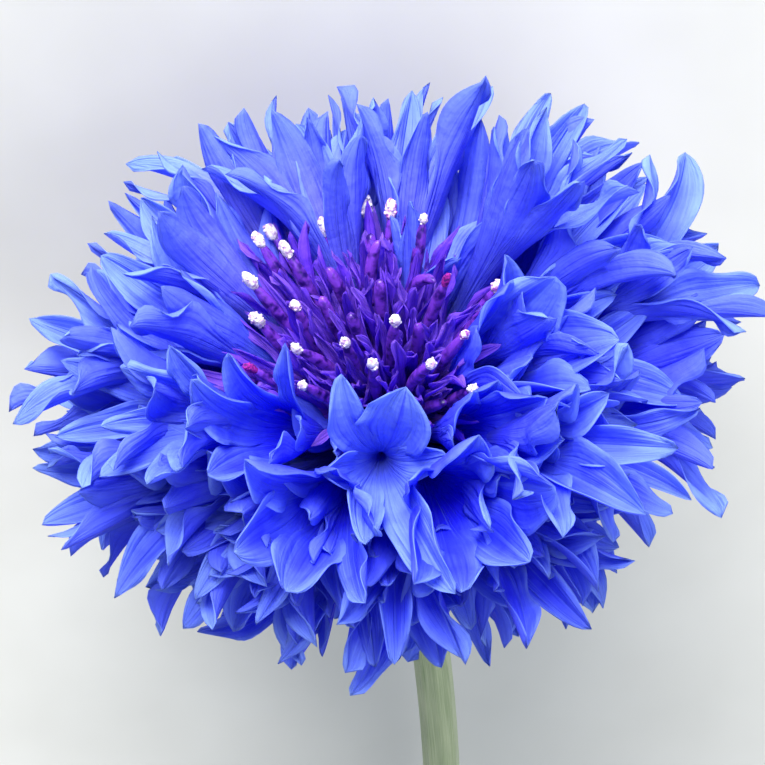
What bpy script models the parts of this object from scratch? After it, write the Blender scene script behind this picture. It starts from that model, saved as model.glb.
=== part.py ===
"""A double cornflower, picked with a short stem and laid down on a table.

The flower is modelled upright around an empty: the centre of its floret bed is the empty's
origin and its face looks along +Z. The empty then lays the flower down, so that it rests on
its lowest petal lobes and on the cut end of its stem, with its face towards -Y. The middle of
the underside of the whole object's box is the world origin. Metres, +Z up.

Every floret, bract and the stem is one closed solid. Neighbours that touch on the real flower
keep SEAT_GAP between their surfaces.
"""

import math

import bmesh
import bpy
import numpy as np
from mathutils import Matrix, Vector

MM = 0.001
SEAT_GAP = 0.3 * MM
GOLDEN_ANGLE = math.radians(137.508)

# Kilograms per cubic metre, for the centre of mass that the flower rests under. Real petals are
# a third as thick as RAY_WALL, so the blue solids weigh a third of what fresh petals would.
PETAL_DENSITY = 300.0
GREEN_DENSITY = 600.0

# Rough direction, in the flower's own space, of the side that it lies on.
RESTING_SIDE = Vector((0, 1, -0.25)).normalized()

# Turn of the spiral that the florets stand on, which brings a pair of low lobes underneath.
SPIRAL_START = math.radians(24.0)

# Floret bed: a dome on top of the receptacle, centred on the flower's origin.
DOME_RADIUS = 4.5 * MM
DOME_RING_DEGREES = (-18, -4, 12, 28, 44, 60, 76)
RECEPTACLE_SIDES = 20
# Half outline of the receptacle below the dome, as (radius, height), from the stem up.
RECEPTACLE_OUTLINE = (
    (1.35 * MM, -15.0 * MM),
    (2.4 * MM, -13.6 * MM),
    (3.9 * MM, -11.0 * MM),
    (4.6 * MM, -7.6 * MM),
    (4.3 * MM, -4.2 * MM),
    (3.9 * MM, -2.2 * MM),
)

# Ray florets: lobed trumpets on one spiral, from the innermost to the outermost. The places of
# throat and notch and the rim's rise past the notch are shares of the floret's length.
RAY_COUNT = 36
RAY_ELEVATIONS = (math.radians(57.0), math.radians(-14.0))
# How far the lobe tips reach from the flower's origin, by the floret's elevation in degrees.
TIP_REACH_DEGREES = (-14.0, 8.0, 45.0, 57.0)
TIP_REACH = (20.8 * MM, 24.5 * MM, 24.0 * MM, 20.5 * MM)
# Florets low on the side that lies uppermost fall short by up to this share.
UPPER_SHORTFALL = 0.28
UPPER_SHORTFALL_BELOW = math.radians(40.0)
RAY_LOBES = 6
POINTS_PER_LOBE = 4
RAY_TUBE_RADIUS = 0.55 * MM
RAY_WALL = 0.45 * MM
RAY_THROAT_AT = 0.45
RAY_NOTCH_AT = 0.72
RAY_RIM_RISE = 0.06
RAY_HOLLOW_END_RADIUS = 0.22 * MM
RAY_NOTCH_SPREAD = math.radians(9.4)
RAY_TIP_SPREAD = math.radians(10.9)
LOBE_ROUNDNESS = 0.62

# Disc florets: slender columns in the middle, the first one on the flower's axis.
DISC_COUNT = 12
DISC_LOWEST = math.radians(58.0)
DISC_TUBE_RADIUS = 0.32 * MM
DISC_HEAD_RADIUS = 1.1 * MM
DISC_LENGTH = 9.5 * MM
DISC_SIDES = 8
# Half outline of a disc floret, as (radius, share of its length), from the foot up.
DISC_OUTLINE = (
    (DISC_TUBE_RADIUS, 0.0),
    (DISC_TUBE_RADIUS, 0.35),
    (DISC_HEAD_RADIUS, 0.62),
    (DISC_HEAD_RADIUS, 0.9),
    (0.5 * DISC_HEAD_RADIUS, 1.0),
)

# Bracts: two overlapping rings of scales around the receptacle.
BRACTS_PER_RING = 5
BRACT_THICKNESS = 0.6 * MM
BRACT_COLUMNS = 6
BRACT_ROWS = 5
# Each ring's (name, lowest height, highest height, gap to the receptacle, half turn share).
BRACT_RINGS = (
    ("upper", -9.6 * MM, -2.9 * MM, SEAT_GAP, 0.0),
    ("lower", -13.2 * MM, -6.4 * MM, 2 * SEAT_GAP + BRACT_THICKNESS, 0.5),
)
# Share of its turn that a scale fills where it is widest, and its width from foot to top as
# a stretch of a sine's half wave.
BRACT_SPREAD = 0.92
BRACT_WAVE = (0.32, 0.92)
BRACT_FULLNESS = 0.8

# Stem: starts under the receptacle and bends a little sideways and towards the table.
STEM_LENGTH = 62.0 * MM
STEM_RADIUS_TOP = 1.3 * MM
STEM_RADIUS_END = 1.45 * MM
STEM_SIDE_BEND = -6.0 * MM
STEM_TABLE_BEND = 3.0 * MM
STEM_BEND_POWER = 1.6
STEM_RINGS = 9
STEM_SIDES = 12


def clear_scene():
    """Removes every object that the open file holds."""
    for found in list(bpy.data.objects):
        bpy.data.objects.remove(found, do_unlink=True)


def plain_material(name, colour, roughness):
    """A Principled material of one colour."""
    made = bpy.data.materials.new(name)
    made.use_nodes = True
    surface = made.node_tree.nodes["Principled BSDF"]
    surface.inputs["Base Color"].default_value = (*colour, 1.0)
    surface.inputs["Roughness"].default_value = roughness
    surface.inputs["Metallic"].default_value = 0.0
    return made


def add_solid(name, form, material, flower, placed=None):
    """Turns a bmesh into one named object under the flower, placed by a matrix."""
    bmesh.ops.recalc_face_normals(form, faces=form.faces)
    mesh = bpy.data.meshes.new(name)
    form.to_mesh(mesh)
    form.free()
    mesh.shade_smooth()
    mesh.set_sharp_from_angle(angle=math.radians(40))
    mesh.materials.append(material)
    solid = bpy.data.objects.new(name, mesh)
    bpy.context.scene.collection.objects.link(solid)
    solid.parent = flower
    solid.matrix_basis = placed or Matrix.Identity(4)
    return solid


def loft(rings):
    """Joins rings of equally many points into one closed body with flat ends."""
    form = bmesh.new()
    loops = [[form.verts.new(point) for point in ring] for ring in rings]
    sides = len(loops[0])
    for below, above in zip(loops, loops[1:]):
        for i in range(sides):
            j = (i + 1) % sides
            form.faces.new((below[i], below[j], above[j], above[i]))
    form.faces.new(reversed(loops[0]))
    form.faces.new(loops[-1])
    return form


def circle(radius, height, sides):
    """Points of a level ring around the local Z axis."""
    turns = [math.tau * i / sides for i in range(sides)]
    return [(radius * math.cos(a), radius * math.sin(a), height) for a in turns]


def direction_of(azimuth, elevation):
    """Unit vector at an azimuth from +X and an elevation above the floret bed's plane."""
    level = math.cos(elevation)
    return Vector((level * math.cos(azimuth), level * math.sin(azimuth), math.sin(elevation)))


def aimed(direction, roll):
    """Rotation that turns local +Z to a direction, after a roll about it."""
    turned = direction.to_track_quat("Z", "Y") @ Matrix.Rotation(roll, 3, "Z").to_quaternion()
    return turned.to_matrix().to_4x4()


def lobed_ring(notch_reach, tip_reach, notch_spread, tip_spread, inset):
    """Rim of a trumpet: between its notches, each lobe bulges out to a tip.

    Reach is the distance from the flower's origin and spread the angle from the floret's own
    axis. The inset moves the ring towards that axis, for the inner face of the wall.
    """
    ring = []
    for i in range(RAY_LOBES * POINTS_PER_LOBE):
        bulge = math.sin(math.pi * (i % POINTS_PER_LOBE) / POINTS_PER_LOBE) ** LOBE_ROUNDNESS
        reach = notch_reach + (tip_reach - notch_reach) * bulge
        spread = notch_spread + (tip_spread - notch_spread) * bulge
        turn = math.tau * i / (RAY_LOBES * POINTS_PER_LOBE)
        radius = reach * math.sin(spread) - inset
        height = reach * math.cos(spread)
        ring.append((radius * math.cos(turn), radius * math.sin(turn), height))
    return ring


def ray_reach(azimuth, elevation):
    """Distance of a trumpet's tips: less near the edge of the side that lies uppermost."""
    reach = float(np.interp(math.degrees(elevation), TIP_REACH_DEGREES, TIP_REACH))
    share = min(max(elevation / UPPER_SHORTFALL_BELOW, 0.0), 1.0)
    edge = 1.0 - share * share * (3.0 - 2.0 * share)
    upper = max(0.0, -direction_of(azimuth, elevation).y)
    return reach * (1.0 - UPPER_SHORTFALL * upper * edge)


def ray_floret_form(tip_reach):
    """A trumpet along local +Z: tube, flaring throat and a ring of lobes around a hollow mouth."""
    foot = DOME_RADIUS + SEAT_GAP
    length = tip_reach - foot
    throat_height = foot + RAY_THROAT_AT * length
    notch_reach = foot + RAY_NOTCH_AT * length
    notch_radius = notch_reach * math.sin(RAY_NOTCH_SPREAD)
    notch_height = notch_reach * math.cos(RAY_NOTCH_SPREAD)
    rim_reach = notch_reach + RAY_RIM_RISE * length
    rim = (rim_reach, tip_reach, RAY_NOTCH_SPREAD, RAY_TIP_SPREAD)
    sides = RAY_LOBES * POINTS_PER_LOBE
    return loft(
        [
            circle(RAY_TUBE_RADIUS, foot, sides),
            circle(RAY_TUBE_RADIUS, throat_height, sides),
            circle(notch_radius, notch_height, sides),
            lobed_ring(*rim, inset=0.0),
            lobed_ring(*rim, inset=RAY_WALL),
            circle(notch_radius - RAY_WALL, notch_height, sides),
            circle(RAY_HOLLOW_END_RADIUS, throat_height + 2 * RAY_WALL, sides),
        ]
    )


def add_ray_florets(flower, material):
    """The trumpets, evenly spread over a band of the sphere around the floret bed."""
    inner, outer = (math.sin(angle) for angle in RAY_ELEVATIONS)
    for i in range(RAY_COUNT):
        elevation = math.asin(inner + (outer - inner) * (i + 0.5) / RAY_COUNT)
        azimuth = SPIRAL_START + GOLDEN_ANGLE * (DISC_COUNT + i)
        reach = ray_reach(azimuth, elevation)
        placed = aimed(direction_of(azimuth, elevation), roll=GOLDEN_ANGLE * i)
        name = f"ray_floret_{i + 1:02d}"
        add_solid(name, ray_floret_form(reach), material, flower, placed)


def disc_floret_form():
    """A column along local +Z: thin tube, swollen head and blunt tip."""
    foot = DOME_RADIUS + SEAT_GAP
    rings = [(radius, foot + share * DISC_LENGTH) for radius, share in DISC_OUTLINE]
    return loft([circle(radius, height, DISC_SIDES) for radius, height in rings])


def add_disc_florets(flower, material):
    """The columns in the middle, on the spiral that the ray florets carry on."""
    lowest = math.sin(DISC_LOWEST)
    for i in range(DISC_COUNT):
        elevation = math.asin(1.0 + (lowest - 1.0) * (i + 0.5) / DISC_COUNT)
        azimuth = SPIRAL_START + GOLDEN_ANGLE * i
        placed = aimed(direction_of(azimuth, elevation), roll=0.0)
        add_solid(f"disc_floret_{i + 1:02d}", disc_floret_form(), material, flower, placed)


def receptacle_radius(height):
    """Radius of the receptacle below its dome, at a height."""
    radii, heights = zip(*RECEPTACLE_OUTLINE)
    return float(np.interp(height, heights, radii))


def add_receptacle(flower, material):
    """The swollen end of the stem: the outline below, then the dome that carries the florets."""
    rings = [circle(r, z, RECEPTACLE_SIDES) for r, z in RECEPTACLE_OUTLINE]
    for degrees in DOME_RING_DEGREES:
        angle = math.radians(degrees)
        level = DOME_RADIUS * math.cos(angle)
        rings.append(circle(level, DOME_RADIUS * math.sin(angle), RECEPTACLE_SIDES))
    add_solid("receptacle", loft(rings), material, flower)


def bract_form(low, high, clearance):
    """A scale wrapped around the receptacle: broad below its middle, with a pointed top."""
    half_turn = BRACT_SPREAD * math.pi / BRACTS_PER_RING
    faces = []
    for offset in (clearance, clearance + BRACT_THICKNESS):
        for row in range(BRACT_ROWS):
            share = row / (BRACT_ROWS - 1)
            wave = BRACT_WAVE[0] + (BRACT_WAVE[1] - BRACT_WAVE[0]) * share
            width = math.sin(math.pi * wave) ** BRACT_FULLNESS
            height = low + (high - low) * share
            radius = receptacle_radius(height) + offset
            turns = np.linspace(-half_turn, half_turn, BRACT_COLUMNS) * width
            faces.append([(radius * math.cos(a), radius * math.sin(a), height) for a in turns])
    inner, outer = faces[:BRACT_ROWS], faces[BRACT_ROWS:]
    return loft([below + above[::-1] for below, above in zip(inner, outer)])


def add_bracts(flower, material):
    """Both rings of scales, the lower ring outside and half a scale round from the upper."""
    for ring, low, high, clearance, half_turn in BRACT_RINGS:
        for i in range(BRACTS_PER_RING):
            turn = Matrix.Rotation(math.tau * (i + half_turn) / BRACTS_PER_RING, 4, "Z")
            form = bract_form(low, high, clearance)
            add_solid(f"bract_{ring}_{i + 1}", form, material, flower, turn)


def stem_point(share):
    """Centre of the stem at a share of its length, bending more towards its cut end."""
    top = RECEPTACLE_OUTLINE[0][1] - SEAT_GAP
    bend = share**STEM_BEND_POWER
    return Vector((STEM_SIDE_BEND * bend, STEM_TABLE_BEND * bend, top - STEM_LENGTH * share))


def add_stem(flower, material):
    """A round stem that thickens slightly towards its cut end, square to its own line."""
    step = 1e-3
    rings = []
    for i in range(STEM_RINGS):
        share = i / (STEM_RINGS - 1)
        along = stem_point(share + step) - stem_point(max(share - step, 0.0))
        radius = STEM_RADIUS_TOP + (STEM_RADIUS_END - STEM_RADIUS_TOP) * share
        turned = aimed(along, roll=0.0)
        centre = stem_point(share)
        rings.append([centre + turned @ Vector(p) for p in circle(radius, 0.0, STEM_SIDES)])
    add_solid("stem", loft(rings), material, flower)


def solid_points(solids):
    """Corners of all solids in the flower's own space, and their common centre of mass."""
    corners, masses, moments = [], [], []
    for solid in solids:
        mesh = solid.data
        mesh.calc_loop_triangles()
        place = np.array(solid.matrix_basis)
        points = np.array([v.co for v in mesh.vertices]) @ place[:3, :3].T + place[:3, 3]
        triangles = points[[t.vertices[:] for t in mesh.loop_triangles]]
        density = PETAL_DENSITY if "floret" in solid.name else GREEN_DENSITY
        shares = density * np.linalg.det(triangles) / 6
        corners.append(points)
        masses.append(shares.sum())
        moments.append((triangles.sum(axis=1) / 4 * shares[:, None]).sum(axis=0))
    return np.concatenate(corners), sum(moments) / sum(masses)


def resting_normal(points, centre, wanted):
    """Outward normal of the hull face that the flower rests on, nearest the wanted direction.

    A body rests on a face of its convex hull when the foot of the perpendicular from its
    centre of mass lies inside that face.
    """
    hull = bmesh.new()
    for point in points:
        hull.verts.new(point)
    bmesh.ops.convex_hull(hull, input=hull.verts)
    hull.normal_update()
    middle = Vector(centre)
    stable = []
    for face in hull.faces:
        normal = face.normal.copy()
        corners = [v.co for v in face.verts]
        if normal.dot(corners[0] - middle) < 0:
            normal.negate()
        foot = middle + normal * normal.dot(corners[0] - middle)
        sides = [
            (b - a).cross(foot - a).dot(face.normal)
            for a, b in zip(corners, corners[1:] + corners[:1])
        ]
        if min(sides) >= 0 or max(sides) <= 0:
            stable.append(normal)
    hull.free()
    return max(stable, key=lambda normal: normal.dot(wanted))


def lay_down(flower, solids):
    """Turns the flower onto its resting face, face towards -Y, box centred over the origin."""
    points, centre = solid_points(solids)
    down = resting_normal(points, centre, wanted=RESTING_SIDE)
    forward = Vector((0, 0, 1))
    forward = (forward - down * forward.dot(down)).normalized()
    # Rows are the world's X, Y and Z axes, written in the flower's own space.
    turned = Matrix((forward.cross(down), -forward, -down)).to_4x4()
    laid = points @ np.array(turned.to_3x3()).T
    low, high = laid.min(axis=0), laid.max(axis=0)
    middle = Vector(((low[0] + high[0]) / 2, (low[1] + high[1]) / 2, low[2]))
    flower.matrix_world = Matrix.Translation(-middle) @ turned


def main():
    clear_scene()
    flower = bpy.data.objects.new("flower", None)
    bpy.context.scene.collection.objects.link(flower)
    petal_blue = plain_material("petal_blue", (0.075, 0.095, 0.82), 0.5)
    disc_purple = plain_material("disc_purple", (0.16, 0.045, 0.42), 0.5)
    bract_green = plain_material("bract_green", (0.16, 0.22, 0.08), 0.6)
    stem_green = plain_material("stem_green", (0.24, 0.32, 0.16), 0.55)
    add_ray_florets(flower, petal_blue)
    add_disc_florets(flower, disc_purple)
    add_receptacle(flower, bract_green)
    add_bracts(flower, bract_green)
    add_stem(flower, stem_green)
    lay_down(flower, list(flower.children))


main()
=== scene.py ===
"""Looks of a double cornflower that lies on a pale table with its face towards -Y.

Every petal, bract and tube is a surface worked out in numpy and given a wall. The pieces stand
where the frame's solids stand: the floret bed's centre, the flower's axis and each floret's
direction are read from them. Lengths are in metres.
"""

import logging
import math
from dataclasses import dataclass, field, replace
from enum import Enum

import bpy
import numpy as np
from mathutils import Matrix, Vector


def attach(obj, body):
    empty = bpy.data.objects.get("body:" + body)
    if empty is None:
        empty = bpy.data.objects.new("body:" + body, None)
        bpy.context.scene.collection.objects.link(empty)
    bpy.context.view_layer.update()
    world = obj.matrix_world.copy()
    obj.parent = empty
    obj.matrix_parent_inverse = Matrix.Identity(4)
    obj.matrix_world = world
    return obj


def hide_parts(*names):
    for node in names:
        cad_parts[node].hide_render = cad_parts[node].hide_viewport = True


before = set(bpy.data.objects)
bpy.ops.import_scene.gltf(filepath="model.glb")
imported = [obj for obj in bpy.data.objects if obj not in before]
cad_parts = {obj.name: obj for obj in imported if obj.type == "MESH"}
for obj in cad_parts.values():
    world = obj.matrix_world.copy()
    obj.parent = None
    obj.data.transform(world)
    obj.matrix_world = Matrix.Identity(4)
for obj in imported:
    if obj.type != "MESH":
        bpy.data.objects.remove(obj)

log = logging.getLogger("cornflower")

MM = 0.001
BODY = "root"
FLOOR_CLEARANCE = 0.15 * MM
SOFT_LANDING = 0.2 * MM
GAP_CANDIDATES = 600
SEED = 5000
RAY_SEEDS, HAND_SET_SEEDS, BETWEEN_SEEDS = SEED, SEED + 500, SEED + 600
DISC_SEEDS, BRACT_SEEDS = 2 * SEED, 3 * SEED

Colour = tuple[float, float, float]
Socket = bpy.types.NodeSocket
Number = float | Socket
Paint = Colour | Socket


def unit(vectors: np.ndarray) -> np.ndarray:
    """Vectors along the last axis, each brought to length one."""
    return vectors / np.maximum(np.linalg.norm(vectors, axis=-1, keepdims=True), 1e-12)


def smoothstep(low: float, high: float, values: np.ndarray | float) -> np.ndarray:
    """Rises from 0 at low to 1 at high, level at both ends: 3t^2 - 2t^3."""
    t = np.clip((values - low) / (high - low), 0.0, 1.0)
    return t * t * (3.0 - 2.0 * t)


def bell(rng: np.random.Generator, count: int | None = None) -> np.ndarray | float:
    """Numbers around 0 with a spread of 1, kept within 1.8 of it."""
    return np.clip(rng.normal(size=count), -1.8, 1.8)


# ---------------------------------------------------------------------------------------------
# Where things are
# ---------------------------------------------------------------------------------------------


def node_points(name: str) -> np.ndarray:
    """The corners of a solid of the frame.

    Args:
        name: The solid's node.

    Returns:
        The points, in metres.
    """
    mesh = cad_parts[name].data
    points = np.empty(len(mesh.vertices) * 3, np.float32)
    mesh.vertices.foreach_get("co", points)
    return points.reshape(-1, 3).astype(float)


def main_axis(points: np.ndarray) -> tuple[np.ndarray, np.ndarray]:
    """Middle and long direction of a cloud of points, from its singular vectors.

    Args:
        points: The points; ones that coincide count once.

    Returns:
        The middle and a unit vector.
    """
    distinct = np.unique(np.round(points, 7), axis=0)
    middle = distinct.mean(axis=0)
    return middle, np.linalg.svd(distinct - middle, full_matrices=False)[2][0]


@dataclass(frozen=True)
class FlowerSpace:
    """The flower's own space: hub at the floret bed's centre, Z to the face, -Y upwards."""

    hub: np.ndarray
    axes: np.ndarray

    @classmethod
    def from_frame(cls, florets: list[str]) -> "FlowerSpace":
        """Finds the space from the solids.

        The hub is the point with the least sum of squared distances to the florets' long
        axes: sum(I - d d^T) hub = sum(I - d d^T) p, for a line through p along d.

        Args:
            florets: Names of the solids that point away from the hub.

        Returns:
            The space, with its axes as the rows of a rotation.
        """
        lines = [main_axis(node_points(name)) for name in florets]
        across = [np.eye(3) - np.outer(d, d) for _, d in lines]
        hub = np.linalg.solve(sum(across), sum(a @ p for a, (p, _) in zip(across, lines)))
        middle, face = main_axis(node_points("receptacle"))
        face = face * np.sign(face @ (middle - node_points("stem").mean(axis=0)))
        down = np.array([0.0, 0.0, -1.0])
        back = unit(down - (down @ face) * face)
        return cls(hub, np.stack([np.cross(back, face), back, face]))

    def place(self, points: np.ndarray) -> np.ndarray:
        """Points of the flower's space in the frame."""
        return self.hub + points @ self.axes

    def local(self, points: np.ndarray) -> np.ndarray:
        """Points of the frame in the flower's space."""
        return (points - self.hub) @ self.axes.T

    def direction(self, name: str) -> np.ndarray:
        """Direction in the flower's space from the hub to the middle of a solid."""
        return unit(self.local(main_axis(node_points(name))[0]))


def ray_direction(azimuth: float, elevation: float) -> np.ndarray:
    """Unit vector at an azimuth from +X and an elevation from the bed's plane, in degrees."""
    a, e = math.radians(azimuth), math.radians(elevation)
    return np.array([math.cos(e) * math.cos(a), math.cos(e) * math.sin(a), math.sin(e)])


def azimuth_elevation(direction: np.ndarray) -> tuple[float, float]:
    """Azimuth and elevation of a unit vector, in degrees."""
    x, y, z = direction
    return math.degrees(math.atan2(y, x)), math.degrees(math.asin(z))


def turned_to(direction: np.ndarray, roll: float = 0.0) -> np.ndarray:
    """Rotation whose rows are a floret's own axes in the flower's space.

    Z is the direction, X points away from the flower's axis, and the roll turns both X and Y
    about Z.

    Args:
        direction: Unit vector that the floret stands along.
        roll: Turn about it, in radians.

    Returns:
        The rotation.
    """
    away = direction * direction[2] - np.array([0.0, 0.0, 1.0])
    if np.linalg.norm(away) < 1e-3:
        away = np.array([1.0, 0.0, 0.0])
    x = unit(away - (away @ direction) * direction)
    y = np.cross(direction, x)
    c, s = math.cos(roll), math.sin(roll)
    return np.stack([c * x + s * y, c * y - s * x, direction])


# ---------------------------------------------------------------------------------------------
# Meshes
# ---------------------------------------------------------------------------------------------


@dataclass
class Surface:
    """Points, four- and three-cornered faces, and values on points and on face corners."""

    points: np.ndarray
    quads: np.ndarray
    triangles: np.ndarray = field(default_factory=lambda: np.empty((0, 3), int))
    values: dict[str, np.ndarray] = field(default_factory=dict)
    quad_uv: np.ndarray | None = None
    triangle_uv: np.ndarray | None = None

    def normals(self) -> np.ndarray:
        """Point normals: the sum of the area vectors of the faces at each point, at length one.

        Returns:
            A unit vector for each point.
        """
        total = np.zeros_like(self.points)
        for faces in (self.quads, self.triangles):
            if not len(faces):
                continue
            corners = self.points[faces]
            area = np.cross(corners[:, 2] - corners[:, 0], corners[:, -1] - corners[:, 1])
            for k in range(faces.shape[1]):
                np.add.at(total, faces[:, k], area)
        return unit(total)

    def rim(self) -> np.ndarray:
        """Directed edges that one face alone has.

        Returns:
            Pairs of point numbers.
        """
        edges = [
            np.stack([faces[:, k], faces[:, (k + 1) % faces.shape[1]]], axis=1)
            for faces in (self.quads, self.triangles)
            for k in range(faces.shape[1])
        ]
        edges = np.concatenate(edges)
        count = len(self.points)
        codes = edges[:, 0] * count + edges[:, 1]
        return edges[~np.isin(codes, edges[:, 1] * count + edges[:, 0])]

    def walled(self, thickness: np.ndarray | float) -> "Surface":
        """A closed body: the surface moved out and in by half a wall along its normals.

        Both skins are joined by a strip of faces along the rim.

        Args:
            thickness: Wall, one number or one for each point.

        Returns:
            The closed surface, with the same values on both skins, and "under" 1 on the skin
            that the normals point to and 0 on the other.
        """
        half = 0.5 * np.broadcast_to(thickness, len(self.points))[:, None] * self.normals()
        count = len(self.points)
        edges = self.rim()
        strip = np.stack([edges[:, 1], edges[:, 0], edges[:, 0] + count, edges[:, 1] + count], 1)
        quads = np.concatenate([self.quads, self.quads[:, ::-1] + count, strip])
        triangles = np.concatenate([self.triangles, self.triangles[:, ::-1] + count])
        values = {name: np.concatenate([v, v]) for name, v in self.values.items()}
        values["under"] = np.concatenate([np.ones(count), np.zeros(count)])
        quad_uv = triangle_uv = None
        if self.quad_uv is not None:
            point_uv = np.zeros((count, 2))
            point_uv[self.quads] = self.quad_uv
            strip_uv = point_uv[np.stack([edges[:, 1], edges[:, 0], edges[:, 0], edges[:, 1]], 1)]
            quad_uv = np.concatenate([self.quad_uv, self.quad_uv[:, ::-1], strip_uv])
            triangle_uv = np.concatenate([self.triangle_uv, self.triangle_uv[:, ::-1]])
        points = np.concatenate([self.points + half, self.points - half])
        return Surface(points, quads, triangles, values, quad_uv, triangle_uv)

    def object(self, name: str, material: bpy.types.Material) -> bpy.types.Object:
        """Puts the surface into a smooth-shaded mesh object at the origin.

        Args:
            name: The object's name.
            material: Its material.

        Returns:
            The object.
        """
        mesh = bpy.data.meshes.new(name)
        mesh.from_pydata(self.points, [], self.quads.tolist() + self.triangles.tolist())
        mesh.polygons.foreach_set("use_smooth", np.ones(len(mesh.polygons), bool))
        if self.quad_uv is not None:
            corners = np.concatenate([self.quad_uv.reshape(-1, 2), self.triangle_uv.reshape(-1, 2)])
            mesh.uv_layers.new(name="UVMap").data.foreach_set("uv", corners.ravel())
        for label, values in self.values.items():
            made = mesh.attributes.new(label, "FLOAT", "POINT")
            made.data.foreach_set("value", values.astype(np.float32))
        mesh.materials.append(material)
        mesh.update()
        made_object = bpy.data.objects.new(name, mesh)
        bpy.context.scene.collection.objects.link(made_object)
        return made_object


def joined(parts: list[Surface]) -> Surface:
    """Surfaces without values or UV, as one.

    Args:
        parts: The surfaces.

    Returns:
        One surface that holds them all.
    """
    starts = np.cumsum([0] + [len(part.points) for part in parts[:-1]])
    return Surface(
        np.concatenate([part.points for part in parts]),
        np.concatenate([part.quads + start for part, start in zip(parts, starts)]),
        np.concatenate([part.triangles + start for part, start in zip(parts, starts)]),
    )


def lattice(rows: int, columns: int, wraps: bool) -> np.ndarray:
    """Faces of a grid of points, in rows.

    Args:
        rows: Rows of points.
        columns: Points in a row.
        wraps: Whether the last column joins the first.

    Returns:
        Four point numbers for each face.
    """
    row, column = np.meshgrid(np.arange(rows - 1), np.arange(columns - (not wraps)), indexing="ij")
    row, column = row.ravel(), column.ravel()
    after = (column + 1) % columns
    here, above = row * columns, (row + 1) * columns
    return np.stack([here + column, here + after, above + after, above + column], axis=1)


def lattice_uv(rows: int, across: int, per_u: float, per_v: float) -> np.ndarray:
    """UV of a lattice's face corners: the column over per_u and the row over per_v.

    Args:
        rows: Rows of points.
        across: Faces in a row.
        per_u: Columns to one unit of U.
        per_v: Rows to one unit of V.

    Returns:
        UV as faces by corners by two.
    """
    r, c = np.divmod(np.arange((rows - 1) * across), across)
    u = np.stack([c, c + 1, c + 1, c], axis=1) / per_u
    v = np.stack([r, r, r + 1, r + 1], axis=1) / per_v
    return np.stack([u, v], axis=-1)


def caps(rows: int, sides: int) -> np.ndarray:
    """Fans of triangles that close a wrapped lattice with a pole below and a pole above it.

    Args:
        rows: Rows of points.
        sides: Points in a row; the two poles are numbered after the last row.

    Returns:
        Three point numbers for each face.
    """
    k = np.arange(sides)
    after = (k + 1) % sides
    last = (rows - 1) * sides
    low = np.stack([after, k, np.full(sides, rows * sides)], axis=1)
    high = np.stack([last + k, last + after, np.full(sides, rows * sides + 1)], axis=1)
    return np.concatenate([low, high])


def tube(path: np.ndarray, radii: np.ndarray, sides: int, ribs: float = 0.0) -> Surface:
    """A closed round body along a path, with a pole at each end.

    Point (i, k) is path[i] + radii[i] * (1 + ribs * cos 5a) * (cos a * side + sin a * up),
    with a = 2 pi k / sides and the frame carried along the path without twist.

    Args:
        path: Centre points, from first to last.
        radii: Radius at each centre point.
        sides: Points around.
        ribs: Height of five lengthwise ribs, as a share of the radius.

    Returns:
        The surface, with the value "along" from 0 to 1.
    """
    tangents = unit(np.gradient(path, axis=0))
    first = np.cross(tangents[0], [1.0, 0.0, 0.0])
    if np.linalg.norm(first) < 0.1:
        first = np.cross(tangents[0], [0.0, 1.0, 0.0])
    side = unit(first - tangents * (tangents @ first)[:, None])
    up = np.cross(tangents, side)
    turn = np.linspace(0.0, math.tau, sides, endpoint=False)
    reach = radii[:, None] * (1.0 + ribs * np.cos(5.0 * turn))[None, :]
    ring = (
        path[:, None]
        + (reach * np.cos(turn))[..., None] * side[:, None]
        + (reach * np.sin(turn))[..., None] * up[:, None]
    )
    rows = len(path)
    points = np.concatenate([ring.reshape(-1, 3), path[:1], path[-1:]])
    along = np.concatenate([np.repeat(np.linspace(0.0, 1.0, rows), sides), [0.0, 1.0]])
    return Surface(points, lattice(rows, sides, True), caps(rows, sides), {"along": along})


def bead(
    middle: np.ndarray, size: np.ndarray, rng: np.random.Generator, lumps: float, detail: int = 14
) -> Surface:
    """A lumpy round grain cluster.

    A sphere's radius is changed by 1 + lumps * sum of five waves cos(f . p + phase) over the
    unit sphere, and stretched by the size.

    Args:
        middle: Centre.
        size: Half sizes along X, Y and Z.
        rng: Source of the waves.
        lumps: Height of the lumps as a share of the radius.
        detail: Rows of the sphere, with twice as many columns.

    Returns:
        The closed surface.
    """
    polar = np.linspace(0.0, math.pi, detail + 1)[1:-1]
    turn = np.linspace(0.0, math.tau, 2 * detail, endpoint=False)
    grid = np.stack(
        [
            np.sin(polar)[:, None] * np.cos(turn),
            np.sin(polar)[:, None] * np.sin(turn),
            np.cos(polar)[:, None] * np.ones_like(turn),
        ],
        axis=-1,
    ).reshape(-1, 3)
    ball = np.concatenate([grid, [[0.0, 0.0, 1.0], [0.0, 0.0, -1.0]]])
    waves = rng.normal(0.0, 4.5, (5, 3))
    phases = rng.uniform(0.0, math.tau, 5)
    radius = 1.0 + lumps * np.cos(ball @ waves.T + phases).sum(axis=1) / 2.2
    points = middle + ball * radius[:, None] * size
    rows, sides = detail - 1, 2 * detail
    return Surface(points, lattice(rows, sides, True)[:, ::-1], caps(rows, sides)[:, [1, 0, 2]])


# ---------------------------------------------------------------------------------------------
# Finishes
# ---------------------------------------------------------------------------------------------


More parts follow.
